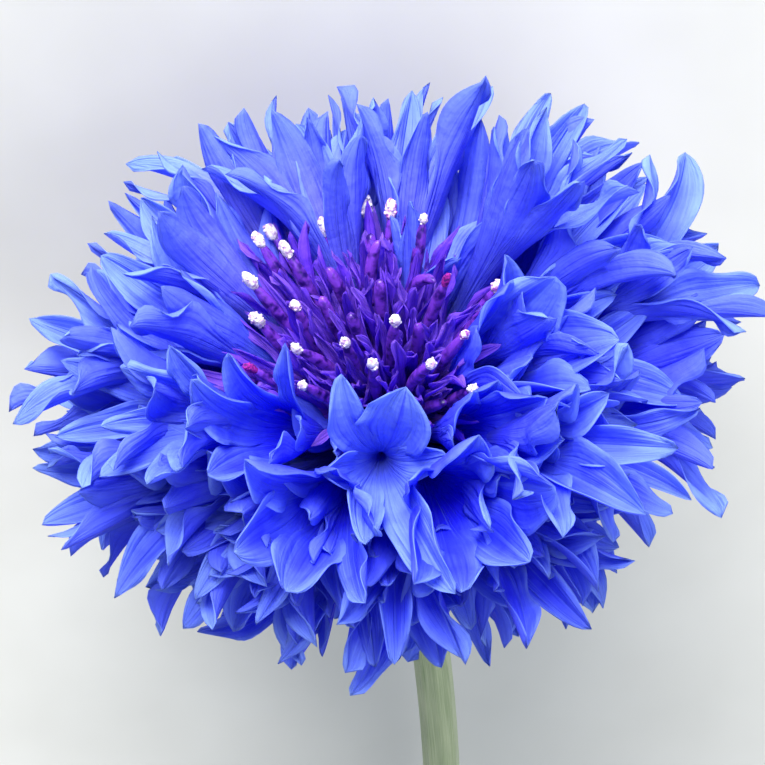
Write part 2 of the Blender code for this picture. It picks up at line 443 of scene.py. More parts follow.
class ShaderTree:
    """A material's node tree, with short calls to add nodes and join them."""

    def __init__(self, name: str) -> None:
        """Starts an empty material.

        Args:
            name: The material's name.
        """
        self.material = bpy.data.materials.new(name)
        self.material.use_nodes = True
        self.tree = self.material.node_tree
        self.tree.nodes.clear()

    def node(
        self, kind: str, inputs: dict[int | str, object] | None = None, **settings: object
    ) -> bpy.types.Node:
        """Adds a node.

        Args:
            kind: Node type, without its ShaderNode prefix.
            inputs: Input name or number to a value, or to a socket to join to it.
            **settings: The node's own properties.

        Returns:
            The node.
        """
        made = self.tree.nodes.new("ShaderNode" + kind)
        for key, value in settings.items():
            setattr(made, key, value)
        for key, value in (inputs or {}).items():
            if isinstance(value, Socket):
                self.tree.links.new(value, made.inputs[key])
            else:
                made.inputs[key].default_value = value
        return made

    def value(self, name: str) -> Socket:
        """A named value that the mesh carries on its points."""
        return self.node("Attribute", attribute_name=name).outputs["Fac"]

    def math(self, operation: str, a: Number, b: Number, clamp: bool = False) -> Socket:
        """The result of a calculation with two numbers or sockets."""
        return self.node("Math", {0: a, 1: b}, operation=operation, use_clamp=clamp).outputs[0]

    def times(self, a: Number, b: Number, clamp: bool = False) -> Socket:
        """The product a * b, kept within 0 and 1 if it is clamped."""
        return self.math("MULTIPLY", a, b, clamp)

    def plus(self, a: Number, b: Number) -> Socket:
        """The sum a + b."""
        return self.math("ADD", a, b)

    def above(self, a: Number, level: float, gain: float) -> Socket:
        """How far a number is above a level: (a - level) * gain, kept within 0 and 1."""
        return self.times(self.math("SUBTRACT", a, level, True), gain, True)

    def below(self, a: Number, level: float, gain: float) -> Socket:
        """How far a number is below a level: (level - a) * gain, kept within 0 and 1."""
        return self.times(self.math("SUBTRACT", level, a, True), gain, True)

    def mix(self, share: Number, a: Paint, b: Paint) -> Socket:
        """A blend of two colours.

        Args:
            share: 0 for the first colour alone and 1 for the second.
            a: The first colour.
            b: The second colour.

        Returns:
            The blended colour.
        """
        made = self.node("Mix", data_type="RGBA")
        for slot, value in (("Factor_Float", share), ("A_Color", a), ("B_Color", b)):
            socket = next(s for s in made.inputs if s.identifier == slot)
            if isinstance(value, Socket):
                self.tree.links.new(value, socket)
            elif slot == "Factor_Float":
                socket.default_value = value
            else:
                socket.default_value = (*value, 1.0)
        return next(s for s in made.outputs if s.identifier == "Result_Color")

    def ramp(self, share: Socket, stops: list[tuple[float, Colour]]) -> Socket:
        """A colour that runs through stops.

        Args:
            share: Where on the run it is, from 0 to 1.
            stops: Places from 0 to 1 and their colours.

        Returns:
            The colour.
        """
        made = self.node("ValToRGB", {"Fac": share})
        elements = made.color_ramp.elements
        while len(elements) < len(stops):
            elements.new(0.5)
        for element, (place, colour) in zip(elements, stops):
            element.position = place
            element.color = (*colour, 1.0)
        return made.outputs["Color"]

    def noise(self, vector: Socket, scale: float, detail: float = 3.0) -> Socket:
        """Smooth noise from 0 to 1."""
        made = self.node("TexNoise", {"Vector": vector, "Scale": scale, "Detail": detail})
        return made.outputs["Fac"]

    def stretched(self, vector: Socket, scale: tuple[float, float, float]) -> Socket:
        """Coordinates multiplied along each axis."""
        return self.node("Mapping", {"Vector": vector, "Scale": scale}).outputs["Vector"]

    def coordinates(self, kind: str) -> Socket:
        """The mesh's Object or UV coordinates."""
        return self.node("TexCoord").outputs[kind]

    def bump(self, height: Socket, strength: float, distance: float) -> Socket:
        """A normal tilted by a height pattern."""
        made = self.node("Bump", {"Height": height, "Strength": strength, "Distance": distance})
        return made.outputs["Normal"]

    def finish(self, surface: Socket) -> bpy.types.Material:
        """Joins a shader to the material's output and returns the material."""
        self.node("OutputMaterial", {"Surface": surface})
        return self.material


@dataclass(frozen=True)
class PetalFinish:
    """Thin coloured petal that light comes through.

    The colour runs from the foot of the tube through the throat to the tips, along the mesh's
    value "along". The value "margin" turns it pale at the margins, a painted highlight on the
    rims. The value "under" makes the outer skin greyer, painted shade. The value "tint" makes it
    paler or deeper by lobe, by random tone and by painted light and shade at the floret's place.
    The value for florets at the back turns it pale violet below the tips, painted backlight. Fine
    veins and broad ones follow the UV map lengthwise, so many to a lobe. Patches, blotches and
    crinkles are noise of so many waves to a metre; relief is the bump's strength and depth.
    """

    name: str
    foot: Colour
    throat: Colour
    blade: Colour
    tip: Colour
    pale: Colour
    flush: Colour
    # Greyer blue of the outer skin, painted shade.
    painted_underside: Colour
    # Pale violet of the painted backlight on florets at the back.
    painted_backlight: Colour
    light_through: float = 0.38
    # Share of the painted highlight along the margins.
    painted_rim_highlight: float = 0.62
    # Share of that painted shade on the outer skin.
    painted_underside_share: float = 0.5
    vein_count: float = 9.0
    broad_count: float = 3.2
    warm_patches: float = 150.0
    pale_blotches: float = 330.0
    margin_patches: float = 520.0
    crinkles: float = 1100.0
    roughness: float = 0.55
    specular: float = 0.2
    relief: tuple[float, float] = (0.9, 0.5 * MM)

    def ground(self, tree: ShaderTree, where: Socket) -> Socket:
        """Colour without lines: the run from foot to tip, the lobes' own tones, painted light and
        shade by the floret's place, and painted backlight.

        Args:
            tree: The material's tree.
            where: Object coordinates.

        Returns:
            The colour.
        """
        along = tree.times(tree.value("along"), 0.5)
        stops = [
            (0.0, self.foot),
            (0.30, self.throat),
            (0.42, self.throat),
            (0.60, self.blade),
            (0.80, self.blade),
            (0.98, self.tip),
        ]
        colour = tree.ramp(along, stops)
        warm = tree.above(tree.noise(where, self.warm_patches, 1.0), 0.45, 2.2)
        colour = tree.mix(tree.times(warm, 0.45), colour, self.flush)
        blotch = tree.math("SUBTRACT", tree.noise(where, self.pale_blotches, 2.0), 0.42, True)
        # The value "tint" holds random tone plus painted light and shade by place: paler at the
        # back and left, deeper on the near side.
        paler = tree.plus(tree.value("tint"), tree.times(blotch, 1.6))
        colour = tree.mix(tree.times(paler, 0.6, True), colour, self.pale)
        deeper = tree.times(tree.value("tint"), -1.2, True)
        colour = tree.mix(deeper, colour, self.throat)
        # Painted backlight: upright florets at the back turn pale violet below the tips.
        painted_backlight = tree.times(tree.value("painted_backlight"), tree.below(along, 0.95, 1.6), True)
        return tree.mix(painted_backlight, colour, self.painted_backlight)

    def lined(
        self, tree: ShaderTree, colour: Socket, where: Socket, veins: Socket, broad: Socket
    ) -> Socket:
        """Adds dark and pale lines, a painted highlight along the margins and the painted shade of
        the greyer outer skin.

        Args:
            tree: The material's tree.
            colour: Colour without lines.
            where: Object coordinates.
            veins: Fine noise that follows the petal lengthwise.
            broad: Broader noise of the same kind.

        Returns:
            The finished colour.
        """
        lines = tree.plus(tree.times(veins, 0.6), tree.times(broad, 0.4))
        colour = tree.mix(tree.times(tree.above(lines, 0.52, 5.0), 0.75), colour, self.throat)
        colour = tree.mix(tree.times(tree.below(lines, 0.46, 5.0), 0.5), colour, self.pale)
        # Painted highlight: the margins turn pale, in uneven patches, as rims that catch the light.
        uneven = tree.plus(tree.times(tree.noise(where, self.margin_patches, 2.0), 1.5), 0.15)
        margin = tree.times(tree.value("margin"), self.painted_rim_highlight)
        colour = tree.mix(tree.times(margin, uneven, True), colour, self.pale)
        # Painted shade: the outer skin is mixed towards a greyer blue.
        return tree.mix(tree.times(tree.value("under"), self.painted_underside_share), colour, self.painted_underside)

    def material(self) -> bpy.types.Material:
        """Builds the material.

        Returns:
            The material: petal skin mixed with the light that comes through it.
        """
        tree = ShaderTree(self.name)
        where, uv = tree.coordinates("Object"), tree.coordinates("UV")
        veins = tree.noise(tree.stretched(uv, (self.vein_count, 0.6, 1.0)), 1.6, 3.0)
        broad = tree.noise(tree.stretched(uv, (self.broad_count, 0.5, 1.0)), 1.6, 2.0)
        colour = self.lined(tree, self.ground(tree, where), where, veins, broad)
        crinkle = tree.noise(where, self.crinkles, 2.0)
        relief = tree.plus(tree.times(veins, 0.45), broad)
        relief = tree.plus(relief, tree.times(crinkle, 0.35))
        skin = {
            "Base Color": colour,
            "Roughness": self.roughness,
            "Specular IOR Level": self.specular,
            "Normal": tree.bump(relief, *self.relief),
        }
        shine = tree.node("BsdfPrincipled", skin).outputs[0]
        glow = {"Color": colour, "Normal": skin["Normal"]}
        through = tree.node("BsdfTranslucent", glow).outputs[0]
        both = tree.node("MixShader", {0: self.light_through, 1: shine, 2: through})
        return tree.finish(both.outputs[0])


@dataclass(frozen=True)
class StemFinish:
    """Matte green skin in fine streaks lengthwise, and paler pith on the cut face.

    The streaks are noise over the values "side", "up" and "along", so they follow the stem;
    the value "core" is 1 in the middle of the cut face and 0 on the skin.
    """

    name: str
    dark: Colour
    light: Colour
    pith: Colour
    fine: float = 26.0
    roughness: float = 0.6

    def material(self) -> bpy.types.Material:
        """Builds the material.

        Returns:
            The material.
        """
        tree = ShaderTree(self.name)
        around = tree.node(
            "CombineXYZ", {0: tree.value("side"), 1: tree.value("up"), 2: tree.value("along")}
        ).outputs[0]
        fine = tree.noise(tree.stretched(around, (self.fine, self.fine, 14.0)), 1.0, 4.0)
        broad = tree.noise(tree.stretched(around, (1.5, 1.5, 9.0)), 1.0, 2.0)
        share = tree.plus(tree.times(fine, 0.65), tree.times(broad, 0.35))
        colour = tree.ramp(share, [(0.32, self.dark), (0.66, self.light)])
        colour = tree.mix(tree.value("core"), colour, self.pith)
        shine = tree.node(
            "BsdfPrincipled",
            {
                "Base Color": colour,
                "Roughness": self.roughness,
                "Specular IOR Level": 0.3,
                "Sheen Weight": 0.35,
                "Sheen Roughness": 0.5,
                "Sheen Tint": (0.85, 0.9, 0.8, 1.0),
                "Subsurface Weight": 0.08,
                "Subsurface Radius": (0.6 * MM, 0.8 * MM, 0.3 * MM),
                "Normal": tree.bump(fine, 0.5, 0.12 * MM),
            },
        )
        return tree.finish(shine.outputs[0])


@dataclass(frozen=True)
class BractFinish:
    """Green scale whose margin, by the value "margin", is a dry brown fringe."""

    name: str
    dark: Colour
    light: Colour
    fringe: Colour

    def material(self) -> bpy.types.Material:
        """Builds the material.

        Returns:
            The material.
        """
        tree = ShaderTree(self.name)
        where = tree.coordinates("UV")
        fine = tree.noise(tree.stretched(where, (16.0, 1.2, 1.0)), 1.0, 3.0)
        colour = tree.ramp(fine, [(0.3, self.dark), (0.7, self.light)])
        colour = tree.mix(tree.value("margin"), colour, self.fringe)
        shine = tree.node(
            "BsdfPrincipled",
            {
                "Base Color": colour,
                "Roughness": 0.55,
                "Specular IOR Level": 0.35,
                "Normal": tree.bump(fine, 0.4, 0.15 * MM),
            },
        )
        return tree.finish(shine.outputs[0])


@dataclass(frozen=True)
class GrainFinish:
    """Powdery or fluffy cluster: two colours in small grains, with a bump of the same grain."""

    name: str
    dark: Colour
    light: Colour
    grain: float = 5200.0
    roughness: float = 0.75
    bump: float = 0.7
    specular: float = 0.3

    def material(self) -> bpy.types.Material:
        """Builds the material.

        Returns:
            The material.
        """
        tree = ShaderTree(self.name)
        fine = tree.noise(tree.coordinates("Object"), self.grain, 2.0)
        colour = tree.ramp(fine, [(0.36, self.dark), (0.56, self.light)])
        shine = tree.node(
            "BsdfPrincipled",
            {
                "Base Color": colour,
                "Roughness": self.roughness,
                "Specular IOR Level": self.specular,
                "Subsurface Weight": 0.15,
                "Subsurface Radius": (0.3 * MM, 0.25 * MM, 0.25 * MM),
                "Normal": tree.bump(fine, self.bump, 0.1 * MM),
            },
        )
        return tree.finish(shine.outputs[0])


RAY_PETAL = PetalFinish(
    "ray_petal_blue",
    foot=(0.12, 0.05, 0.90),
    throat=(0.010, 0.008, 0.97),
    blade=(0.044, 0.066, 0.98),
    tip=(0.17, 0.27, 0.99),
    pale=(0.30, 0.47, 0.99),
    flush=(0.075, 0.060, 1.0),
    # Painted shade: the greyer blue of the outer skin.
    painted_underside=(0.065, 0.068, 0.97),
    # Painted backlight: the pale violet of florets at the back.
    painted_backlight=(0.48, 0.31, 1.0),
    light_through=0.42,
)
DISC_PETAL = PetalFinish(
    "disc_petal_violet",
    foot=(0.022, 0.001, 0.30),
    throat=(0.040, 0.002, 0.55),
    blade=(0.155, 0.010, 1.0),
    tip=(0.22, 0.07, 1.0),
    pale=(0.45, 0.23, 1.0),
    flush=(0.30, 0.02, 0.90),
    # Painted shade: the greyer blue of the outer skin.
    painted_underside=(0.16, 0.030, 0.92),
    # Painted backlight colour; the violet florets are given none of it.
    painted_backlight=(0.45, 0.30, 1.0),
    light_through=0.48,
    # Weaker painted highlight along the margins.
    painted_rim_highlight=0.5,
)
ANTHER = GrainFinish(
    "anther_purple",
    (0.016, 0.002, 0.13),
    (0.16, 0.035, 0.50),
    grain=1500.0,
    roughness=0.34,
    bump=0.2,
    specular=0.5,
)
POLLEN = GrainFinish("pollen_cream", (0.42, 0.25, 0.50), (0.80, 0.76, 0.78), 3600.0)
FADED = GrainFinish("pollen_faded", (0.26, 0.05, 0.36), (0.82, 0.66, 0.78), 3000.0)
STIGMA = GrainFinish("stigma_magenta", (0.06, 0.0, 0.13), (0.32, 0.01, 0.27))
STEM_SKIN = StemFinish("stem_skin", (0.20, 0.27, 0.12), (0.45, 0.50, 0.30), (0.62, 0.66, 0.42))
# Painted shade: the bed is dark violet where the shade between the florets falls.
BED_PAINTED_SHADE = GrainFinish("bed_painted_shade", (0.02, 0.006, 0.10), (0.06, 0.02, 0.22), grain=900.0)
BRACT_SKIN = BractFinish("bract_skin", (0.07, 0.12, 0.035), (0.20, 0.27, 0.10), (0.06, 0.025, 0.02))


# ---------------------------------------------------------------------------------------------
# Florets
# ---------------------------------------------------------------------------------------------


@dataclass(frozen=True)
class Blade:
    """One listed lobe: place around the mouth and lean of its tip in degrees."""

    turn: float
    lean: float
    length: float
    half_width: float
    twist: float = 0.0
    cup: float = 0.6
    fold: float = 0.1
    roll: float = 0.0
    blunt: float = 0.4


@dataclass(frozen=True)
class Variety:
    """How much lobes differ: angles in degrees, and the rest as shares.

    A share of the lobes, folded, takes the first of the folds and the others the second. cup
    is the least and how much more it may be.
    """

    lean: float = 13.0
    most_lean: float = 62.0
    length: float = 0.14
    width: float = 0.17
    side: float = 0.18
    twist: float = 24.0
    cup: tuple[float, float] = (0.35, 0.8)
    folded: float = 0.55
    folds: tuple[float, float] = (0.85, 0.25)
    wave: float = 0.030
    roll: float = 0.35


VARIETY = Variety()


@dataclass(frozen=True)
class Lobes:
    """Shapes of a floret's lobes, one number for each, in the order around the mouth.

    turn is the place around the mouth and side the drift from it towards the tip, in radians.
    lean is the tip's angle from the floret's axis. cup is half the angle that the blade wraps
    around its length, fold the height of its V and roll the turn-up of its margins against its
    half width. blunt is 0 for a sharp tip and 1 for a round one.
    """

    turn: np.ndarray
    length: np.ndarray
    half_width: np.ndarray
    lean: np.ndarray
    side: np.ndarray
    twist: np.ndarray
    cup: np.ndarray
    fold: np.ndarray
    wave: np.ndarray
    phase: np.ndarray
    roll: np.ndarray
    blunt: np.ndarray

    @classmethod
    def draw(
        cls,
        rng: np.random.Generator,
        count: int,
        length: float,
        half_width: float,
        lean: float,
        droop: float = 0.14,
        spread: float = 1.0,
        blunt: float = 0.8,
    ) -> "Lobes":
        """Draws natural lobes around a mean shape.

        Args:
            rng: Source of the differences.
            count: Lobes around the mouth; the first points away from the flower's axis.
            length: Mean length.
            half_width: Mean half width.
            lean: Mean angle of the tips from the floret's axis, in radians.
            droop: How much further the outer lobes lean and how much longer they are.
            spread: Size of all random differences.
            blunt: The bluntest tip.

        Returns:
            The lobes.
        """
        turn = math.tau * np.arange(count) / count
        outward = np.cos(turn)
        folded = rng.random(count) < VARIETY.folded
        leans = lean + droop * outward + math.radians(VARIETY.lean) * spread * bell(rng, count)
        return cls(
            turn=turn,
            length=length * (1.0 + droop * outward + VARIETY.length * spread * bell(rng, count)),
            half_width=half_width * (1.0 + VARIETY.width * spread * bell(rng, count)),
            lean=np.minimum(leans, math.radians(VARIETY.most_lean)),
            side=VARIETY.side * spread * bell(rng, count),
            twist=math.radians(VARIETY.twist) * spread * bell(rng, count),
            cup=VARIETY.cup[0] + VARIETY.cup[1] * spread * rng.random(count),
            fold=np.where(folded, *VARIETY.folds) * spread * rng.random(count) ** 0.5,
            wave=VARIETY.wave * (1.0 + spread * np.abs(bell(rng, count))),
            phase=rng.uniform(0.0, math.tau, count),
            roll=VARIETY.roll * spread * bell(rng, count),
            blunt=blunt * rng.uniform(0.0, 1.0, count),
        )

    @classmethod
    def posed(cls, rng: np.random.Generator, blades: tuple[Blade, ...]) -> tuple["Lobes", float]:
        """Lobes given one by one, with natural waves at their margins.

        The mouth is shared out evenly, so each lobe drifts from its share of the mouth to its
        own turn; the mouth is turned so that these drifts add up to nothing.

        Args:
            rng: Source of the waves.
            blades: The lobes, in any order.

        Returns:
            The lobes, and the turn of the mouth in radians.
        """
        blades = sorted(blades, key=lambda blade: blade.turn)
        count = len(blades)
        share = math.tau * np.arange(count) / count
        wanted = np.radians([blade.turn for blade in blades])
        offset = float(np.angle(np.exp(1j * (wanted - share)).sum()))
        drift = np.angle(np.exp(1j * (wanted - share - offset)))
        lobes = cls(
            turn=share,
            length=np.array([blade.length for blade in blades]) * MM,
            half_width=np.array([blade.half_width for blade in blades]) * MM,
            lean=np.radians([blade.lean for blade in blades]),
            side=drift,
            twist=np.radians([blade.twist for blade in blades]),
            cup=np.array([blade.cup for blade in blades]),
            fold=np.array([blade.fold for blade in blades]),
            wave=VARIETY.wave * (1.0 + rng.random(count)),
            phase=rng.uniform(0.0, math.tau, count),
            roll=np.array([blade.roll for blade in blades]),
            blunt=np.array([blade.blunt for blade in blades]),
        )
        return lobes, offset


@dataclass(frozen=True)
class Trumpet:
    """A floret: a tube that widens into a lobed mouth.

    Heights are distances from the hub along the floret's own axis. flare is the power by which
    the funnel widens, widest where a lobe is widest, ragged how uneven its outline is, and
    crease and ridge how high its skin's broad folds and lengthwise ridges are against its half
    width.
    """

    foot: float
    throat: float
    notch: float
    tube_radius: float
    notch_radius: float
    lobes: Lobes
    columns: int = 10
    funnel_rows: int = 8
    lobe_rows: int = 18
    flare: float = 1.7
    widest: float = 0.46
    ragged: float = 0.07
    crease: float = 0.10
    ridge: float = 0.055
    wall: float = 0.14 * MM
    tint: float = 0.0
    # Share of painted backlight, pale violet, on a floret at the back.
    painted_backlight: float = 0.0

    def width_profile(self, s: np.ndarray, base: np.ndarray) -> np.ndarray:
        """Half width along a lobe as a share of its widest.

        It rises from the base share to 1 at the widest place by a quarter sine, then falls to
        0 at the tip as (1 - t^1.9)^p, with p from 0.85 for a sharp tip to 0.5 for a blunt one.

        Args:
            s: Places along the lobe, 0 to 1.
            base: Share at the notch, one for each lobe.

        Returns:
            Shares, as lobes by places.
        """
        rise = base[:, None] + (1.0 - base[:, None]) * np.sin(
            0.5 * math.pi * np.clip(s / self.widest, 0.0, 1.0)
        )
        t = np.clip((s - self.widest) / (1.0 - self.widest), 0.0, 1.0)
        power = (0.85 - 0.35 * self.lobes.blunt)[:, None]
        return rise * np.maximum(1.0 - t**1.9, 0.0) ** power

    def funnel(self) -> np.ndarray:
        """Rings of the tube and funnel.

        Ring radius r(h) = tube + (notch - tube) * t^flare, with t the share of the way from
        throat to notch.

        Returns:
            Points as rings by places around by three.
        """
        n = len(self.lobes.turn)
        around = n * self.columns
        height = np.linspace(self.foot, self.notch, self.funnel_rows)
        t = np.clip((height - self.throat) / (self.notch - self.throat), 0.0, 1.0)
        radius = self.tube_radius + (self.notch_radius - self.tube_radius) * t**self.flare
        angle = math.tau * (np.arange(around) / around - 0.5 / n)
        level = np.broadcast_to(height[:, None], (self.funnel_rows, around))
        ring = [radius[:, None] * np.cos(angle), radius[:, None] * np.sin(angle), level]
        return np.stack(ring, axis=-1)

    def centre_lines(self, s: np.ndarray) -> tuple[np.ndarray, np.ndarray, np.ndarray]:
        """Middle line of each lobe, and the directions across and inward of its blade.

        A line leaves the notch at the funnel's slope and leans to the lobe's own angle, as the
        running sum of (sin, cos) of that angle; the twist turns the blade about it.

        Args:
            s: Places along a lobe, 0 to 1, as one row.

        Returns:
            Points, across and inward, each as lobes by places by three.
        """
        lobes = self.lobes
        widening = self.notch_radius - self.tube_radius
        start_lean = math.atan(self.flare * widening / (self.notch - self.throat))
        lean = start_lean + (lobes.lean[:, None] - start_lean) * s**0.8
        step = np.diff(s, prepend=0.0) * lobes.length[:, None]
        out = self.notch_radius + np.cumsum(np.sin(lean) * step, axis=1)
        high = self.notch + np.cumsum(np.cos(lean) * step, axis=1)
        turn = lobes.turn[:, None] + lobes.side[:, None] * s**1.5
        c, w = np.cos(turn), np.sin(turn)
        centre = np.stack([out * c, out * w, high], axis=-1)
        along = np.stack([np.sin(lean) * c, np.sin(lean) * w, np.cos(lean)], axis=-1)
        across = np.stack([-w, c, np.zeros_like(turn)], axis=-1)
        inward = np.cross(along, across)
        twist = (lobes.twist[:, None] * s)[..., None]
        turned = np.cos(twist) * across + np.sin(twist) * inward
        return centre, turned, np.cos(twist) * inward - np.sin(twist) * across

    def half_widths(self, s: np.ndarray) -> np.ndarray:
        """Half width along each lobe, which starts as its share of the mouth."""
        share = self.notch_radius * math.pi / len(self.lobes.turn) / self.lobes.half_width
        return self.lobes.half_width[:, None] * self.width_profile(s[0], np.minimum(share, 1.0))

    def blades(self, s: np.ndarray, u: np.ndarray, half: np.ndarray) -> np.ndarray:
        """The lobes' blades.

        Across, a blade is an arc of the cup's angle. On it stand a V of the fold, the
        turned-up margins |u|^5, folds sin * cos in both directions, ridges cos(2.6 pi u)
        lengthwise and waves |u|^3 sin that grow towards the margins. The outline is uneven by
        a wave along each margin.

        Args:
            s: Places along a lobe, 0 to 1, as one row.
            u: Places across, -1 to 1.
            half: Half widths, as lobes by places.

        Returns:
            Points as lobes by places along by places across by three.
        """
        lobes, n = self.lobes, len(self.lobes.turn)
        centre, across, inward = self.centre_lines(s)
        opening = smoothstep(0.0, 0.5, s)
        phase = lobes.phase[:, None, None]
        cup = math.pi / n + (lobes.cup[:, None] - math.pi / n) * opening
        bend = cup[..., None] * u
        uneven = np.sin(11.0 * s[..., None] + 2.0 * phase + 2.0 * np.sign(u))
        uneven = 1.0 + self.ragged * uneven * np.abs(u) * opening[..., None]
        sideways = half[..., None] * np.sin(bend) / cup[..., None] * uneven
        lift = half[..., None] * (1.0 - np.cos(bend)) / cup[..., None]
        lift = lift + (lobes.fold[:, None] * half * opening)[..., None] * np.sqrt(u**2 + 0.02)
        edge_roll = (lobes.roll[:, None] * half * opening)[..., None] * np.abs(u) ** 5
        crease = np.sin(5.0 * s[..., None] + 2.6 * u + phase) * np.cos(3.1 * u - 2.0 * phase)
        ridge = np.cos(2.6 * math.pi * u + 1.4 * np.sin(3.0 * s[..., None] + phase))
        skin = self.crease * crease + self.ridge * ridge
        lift = lift + edge_roll + (half * opening)[..., None] * skin
        ripple = np.sin((10.0 + 3.0 * u) * s[..., None] + phase + 1.3 * np.sign(u)) * np.abs(u) ** 3
        lift = lift + (lobes.wave[:, None] * lobes.length[:, None] * opening)[..., None] * ripple
        middle = centre[:, :, None] + sideways[..., None] * across[:, :, None]
        return middle + lift[..., None] * inward[:, :, None]

    def point_values(self, s: np.ndarray, u: np.ndarray, half: np.ndarray) -> dict[str, np.ndarray]:
        """Values that the petal's finish reads, on the funnel, the blades and the tips.

        "along" is 0 to 1 up the funnel and 1 to 2 up a lobe. "margin" is
        0.45 exp(-d / 0.14) + 0.55 exp(-d / 0.7), with d the distance to the edge in
        millimetres. "tint" differs a little from lobe to lobe, and the value of painted backlight
        is even over the floret.

        Args:
            s: Places along a lobe, 0 to 1, as one row.
            u: Places across, -1 to 1.
            half: Half widths, as lobes by places.

        Returns:
            Each value's numbers, in the order of the points.
        """
        lobes, n = self.lobes, len(self.lobes.turn)
        around, across = n * self.columns, self.columns + 1
        margin_mm = half[..., None] * (1.0 - np.abs(u)) / MM
        tip_mm = ((1.0 - s) * lobes.length[:, None])[..., None] / MM
        nearest = np.minimum(margin_mm, tip_mm)
        edge = 0.45 * np.exp(-nearest / 0.14) + 0.55 * np.exp(-nearest / 0.7)
        edge = edge * smoothstep(0.0, 0.4, s)[..., None]
        funnel = np.repeat(np.linspace(0.0, 1.0, self.funnel_rows), around)
        inner = np.repeat(np.tile(s[0, 1:-1], n), across)
        own = self.tint + 0.16 * np.sin(7.0 * lobes.phase)
        by_blade = np.repeat(own, len(inner) // n) * inner**0.5 + self.tint * (1.0 - inner**0.5)
        values = {
            "along": [funnel, 1.0 + inner, np.full(n, 2.0)],
            "margin": [np.zeros(len(funnel)), edge[:, 1:-1].ravel(), np.ones(n)],
            "tint": [np.full(len(funnel), self.tint), by_blade, own],
            "painted_backlight": [np.full(len(funnel) + len(inner) + n, self.painted_backlight)],
        }
        return {name: np.concatenate(parts) for name, parts in values.items()}

    def surface(self) -> Surface:
        """The floret's middle surface in its own axes: the funnel, then the lobes on its edge.

        Returns:
            The open surface, with the values and the UV that its finish reads.
        """
        s = np.linspace(0.0, 1.0, self.lobe_rows + 1)[None, :] ** 0.9
        u = np.linspace(-1.0, 1.0, self.columns + 1)
        half = self.half_widths(s)
        tips = self.centre_lines(s)[0][:, -1]
        inner = self.blades(s, u, half)[:, 1:-1].reshape(-1, 3)
        points = np.concatenate([self.funnel().reshape(-1, 3), inner, tips])
        quads, triangles, quad_uv, triangle_uv = self.faces(len(tips))
        values = self.point_values(s, u, half)
        return Surface(points, quads, triangles, values, quad_uv, triangle_uv)

    def faces(self, n: int) -> tuple[np.ndarray, np.ndarray, np.ndarray, np.ndarray]:
        """Faces of the funnel and the lobes, outward, and the UV of their corners.

        U counts lobes around the mouth and V runs 0 to 1 up the funnel and 1 to 2 up a lobe.

        Args:
            n: How many lobes.

        Returns:
            Quads, triangles, and the UV of the corners of each.
        """
        m, rows = self.columns, self.funnel_rows
        around = n * m
        funnel = lattice(rows, around, True)
        funnel_uv = lattice_uv(rows, around, m, rows - 1)
        ring = (rows - 1) * around
        inner = self.lobe_rows - 1
        first = rows * around
        j = np.arange(n)[:, None, None]
        k = np.arange(m + 1)[None, None, :]
        base = ring + (j * m + k) % around
        body = first + (j * inner + np.arange(inner)[None, :, None]) * (m + 1) + k
        stack = np.concatenate([base, body], axis=1)
        blades = np.stack(
            [stack[:, :-1, :-1], stack[:, :-1, 1:], stack[:, 1:, 1:], stack[:, 1:, :-1]], axis=-1
        ).reshape(-1, 4)
        place = np.arange(inner + 1)[None, :, None] / self.lobe_rows
        left = np.broadcast_to(j + k[..., :-1] / m, (n, inner, m))
        low = np.broadcast_to(1.0 + place[:, :-1], (n, inner, m))
        high = np.broadcast_to(1.0 + place[:, 1:], (n, inner, m))
        right = left + 1.0 / m
        u, v = np.stack([left, right, right, left], -1), np.stack([low, low, high, high], -1)
        blade_uv = np.stack([u, v], axis=-1).reshape(-1, 4, 2)
        tip = first + n * inner * (m + 1) + np.arange(n)[:, None]
        tip = np.broadcast_to(tip, (n, m))
        triangles = np.stack([stack[:, -1, :-1], stack[:, -1, 1:], tip], axis=-1).reshape(-1, 3)
        left, right = left[:, 0], right[:, 0]
        last = np.full_like(left, 1.0 + inner / self.lobe_rows)
        u = np.stack([left, right, 0.5 * (left + right)], axis=-1)
        v = np.stack([last, last, np.full_like(left, 2.0)], axis=-1)
        triangle_uv = np.stack([u, v], axis=-1).reshape(-1, 3, 2)
        quads = np.concatenate([funnel, blades])
        return quads, triangles, np.concatenate([funnel_uv, blade_uv]), triangle_uv

    def body(self) -> Surface:
        """The floret with its wall, thinner towards the margins."""
        middle = self.surface()
        return middle.walled(self.wall * (1.0 - 0.55 * middle.values["margin"]))


def above_floor(points: np.ndarray) -> np.ndarray:
    """Lifts what would sink into the table, as a petal bends where it presses on it.

    The height h above the clearance becomes soft * log(1 + exp(h / soft)): smooth, never
    negative, and h itself a few times soft higher up.

    Args:
        points: Points in the frame.

    Returns:
        The points, none of them under the clearance.
    """
    raised = points.copy()
    raised[:, 2] = SOFT_LANDING * np.logaddexp(0.0, (points[:, 2] - FLOOR_CLEARANCE) / SOFT_LANDING)
    raised[:, 2] += FLOOR_CLEARANCE
    return raised


def put_piece(
    space: FlowerSpace,
    surface: Surface,
    name: str,
    material: bpy.types.Material,
    replaced: tuple[str, ...] = (),
) -> bpy.types.Object:
    """Places a surface of the flower's space in the frame and tells the frame about it.

    Args:
        space: The flower's space.
        surface: A closed surface in that space.
        name: The piece's name.
        material: Its material.
        replaced: Solids of the frame that it stands for.

    Returns:
        The object.
    """
    surface.points = above_floor(space.place(surface.points))
    piece = surface.object(name, material)
    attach(piece, BODY)
    if replaced:
        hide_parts(*replaced)
    log.info("%s: %d faces", name, len(piece.data.polygons))
    return piece


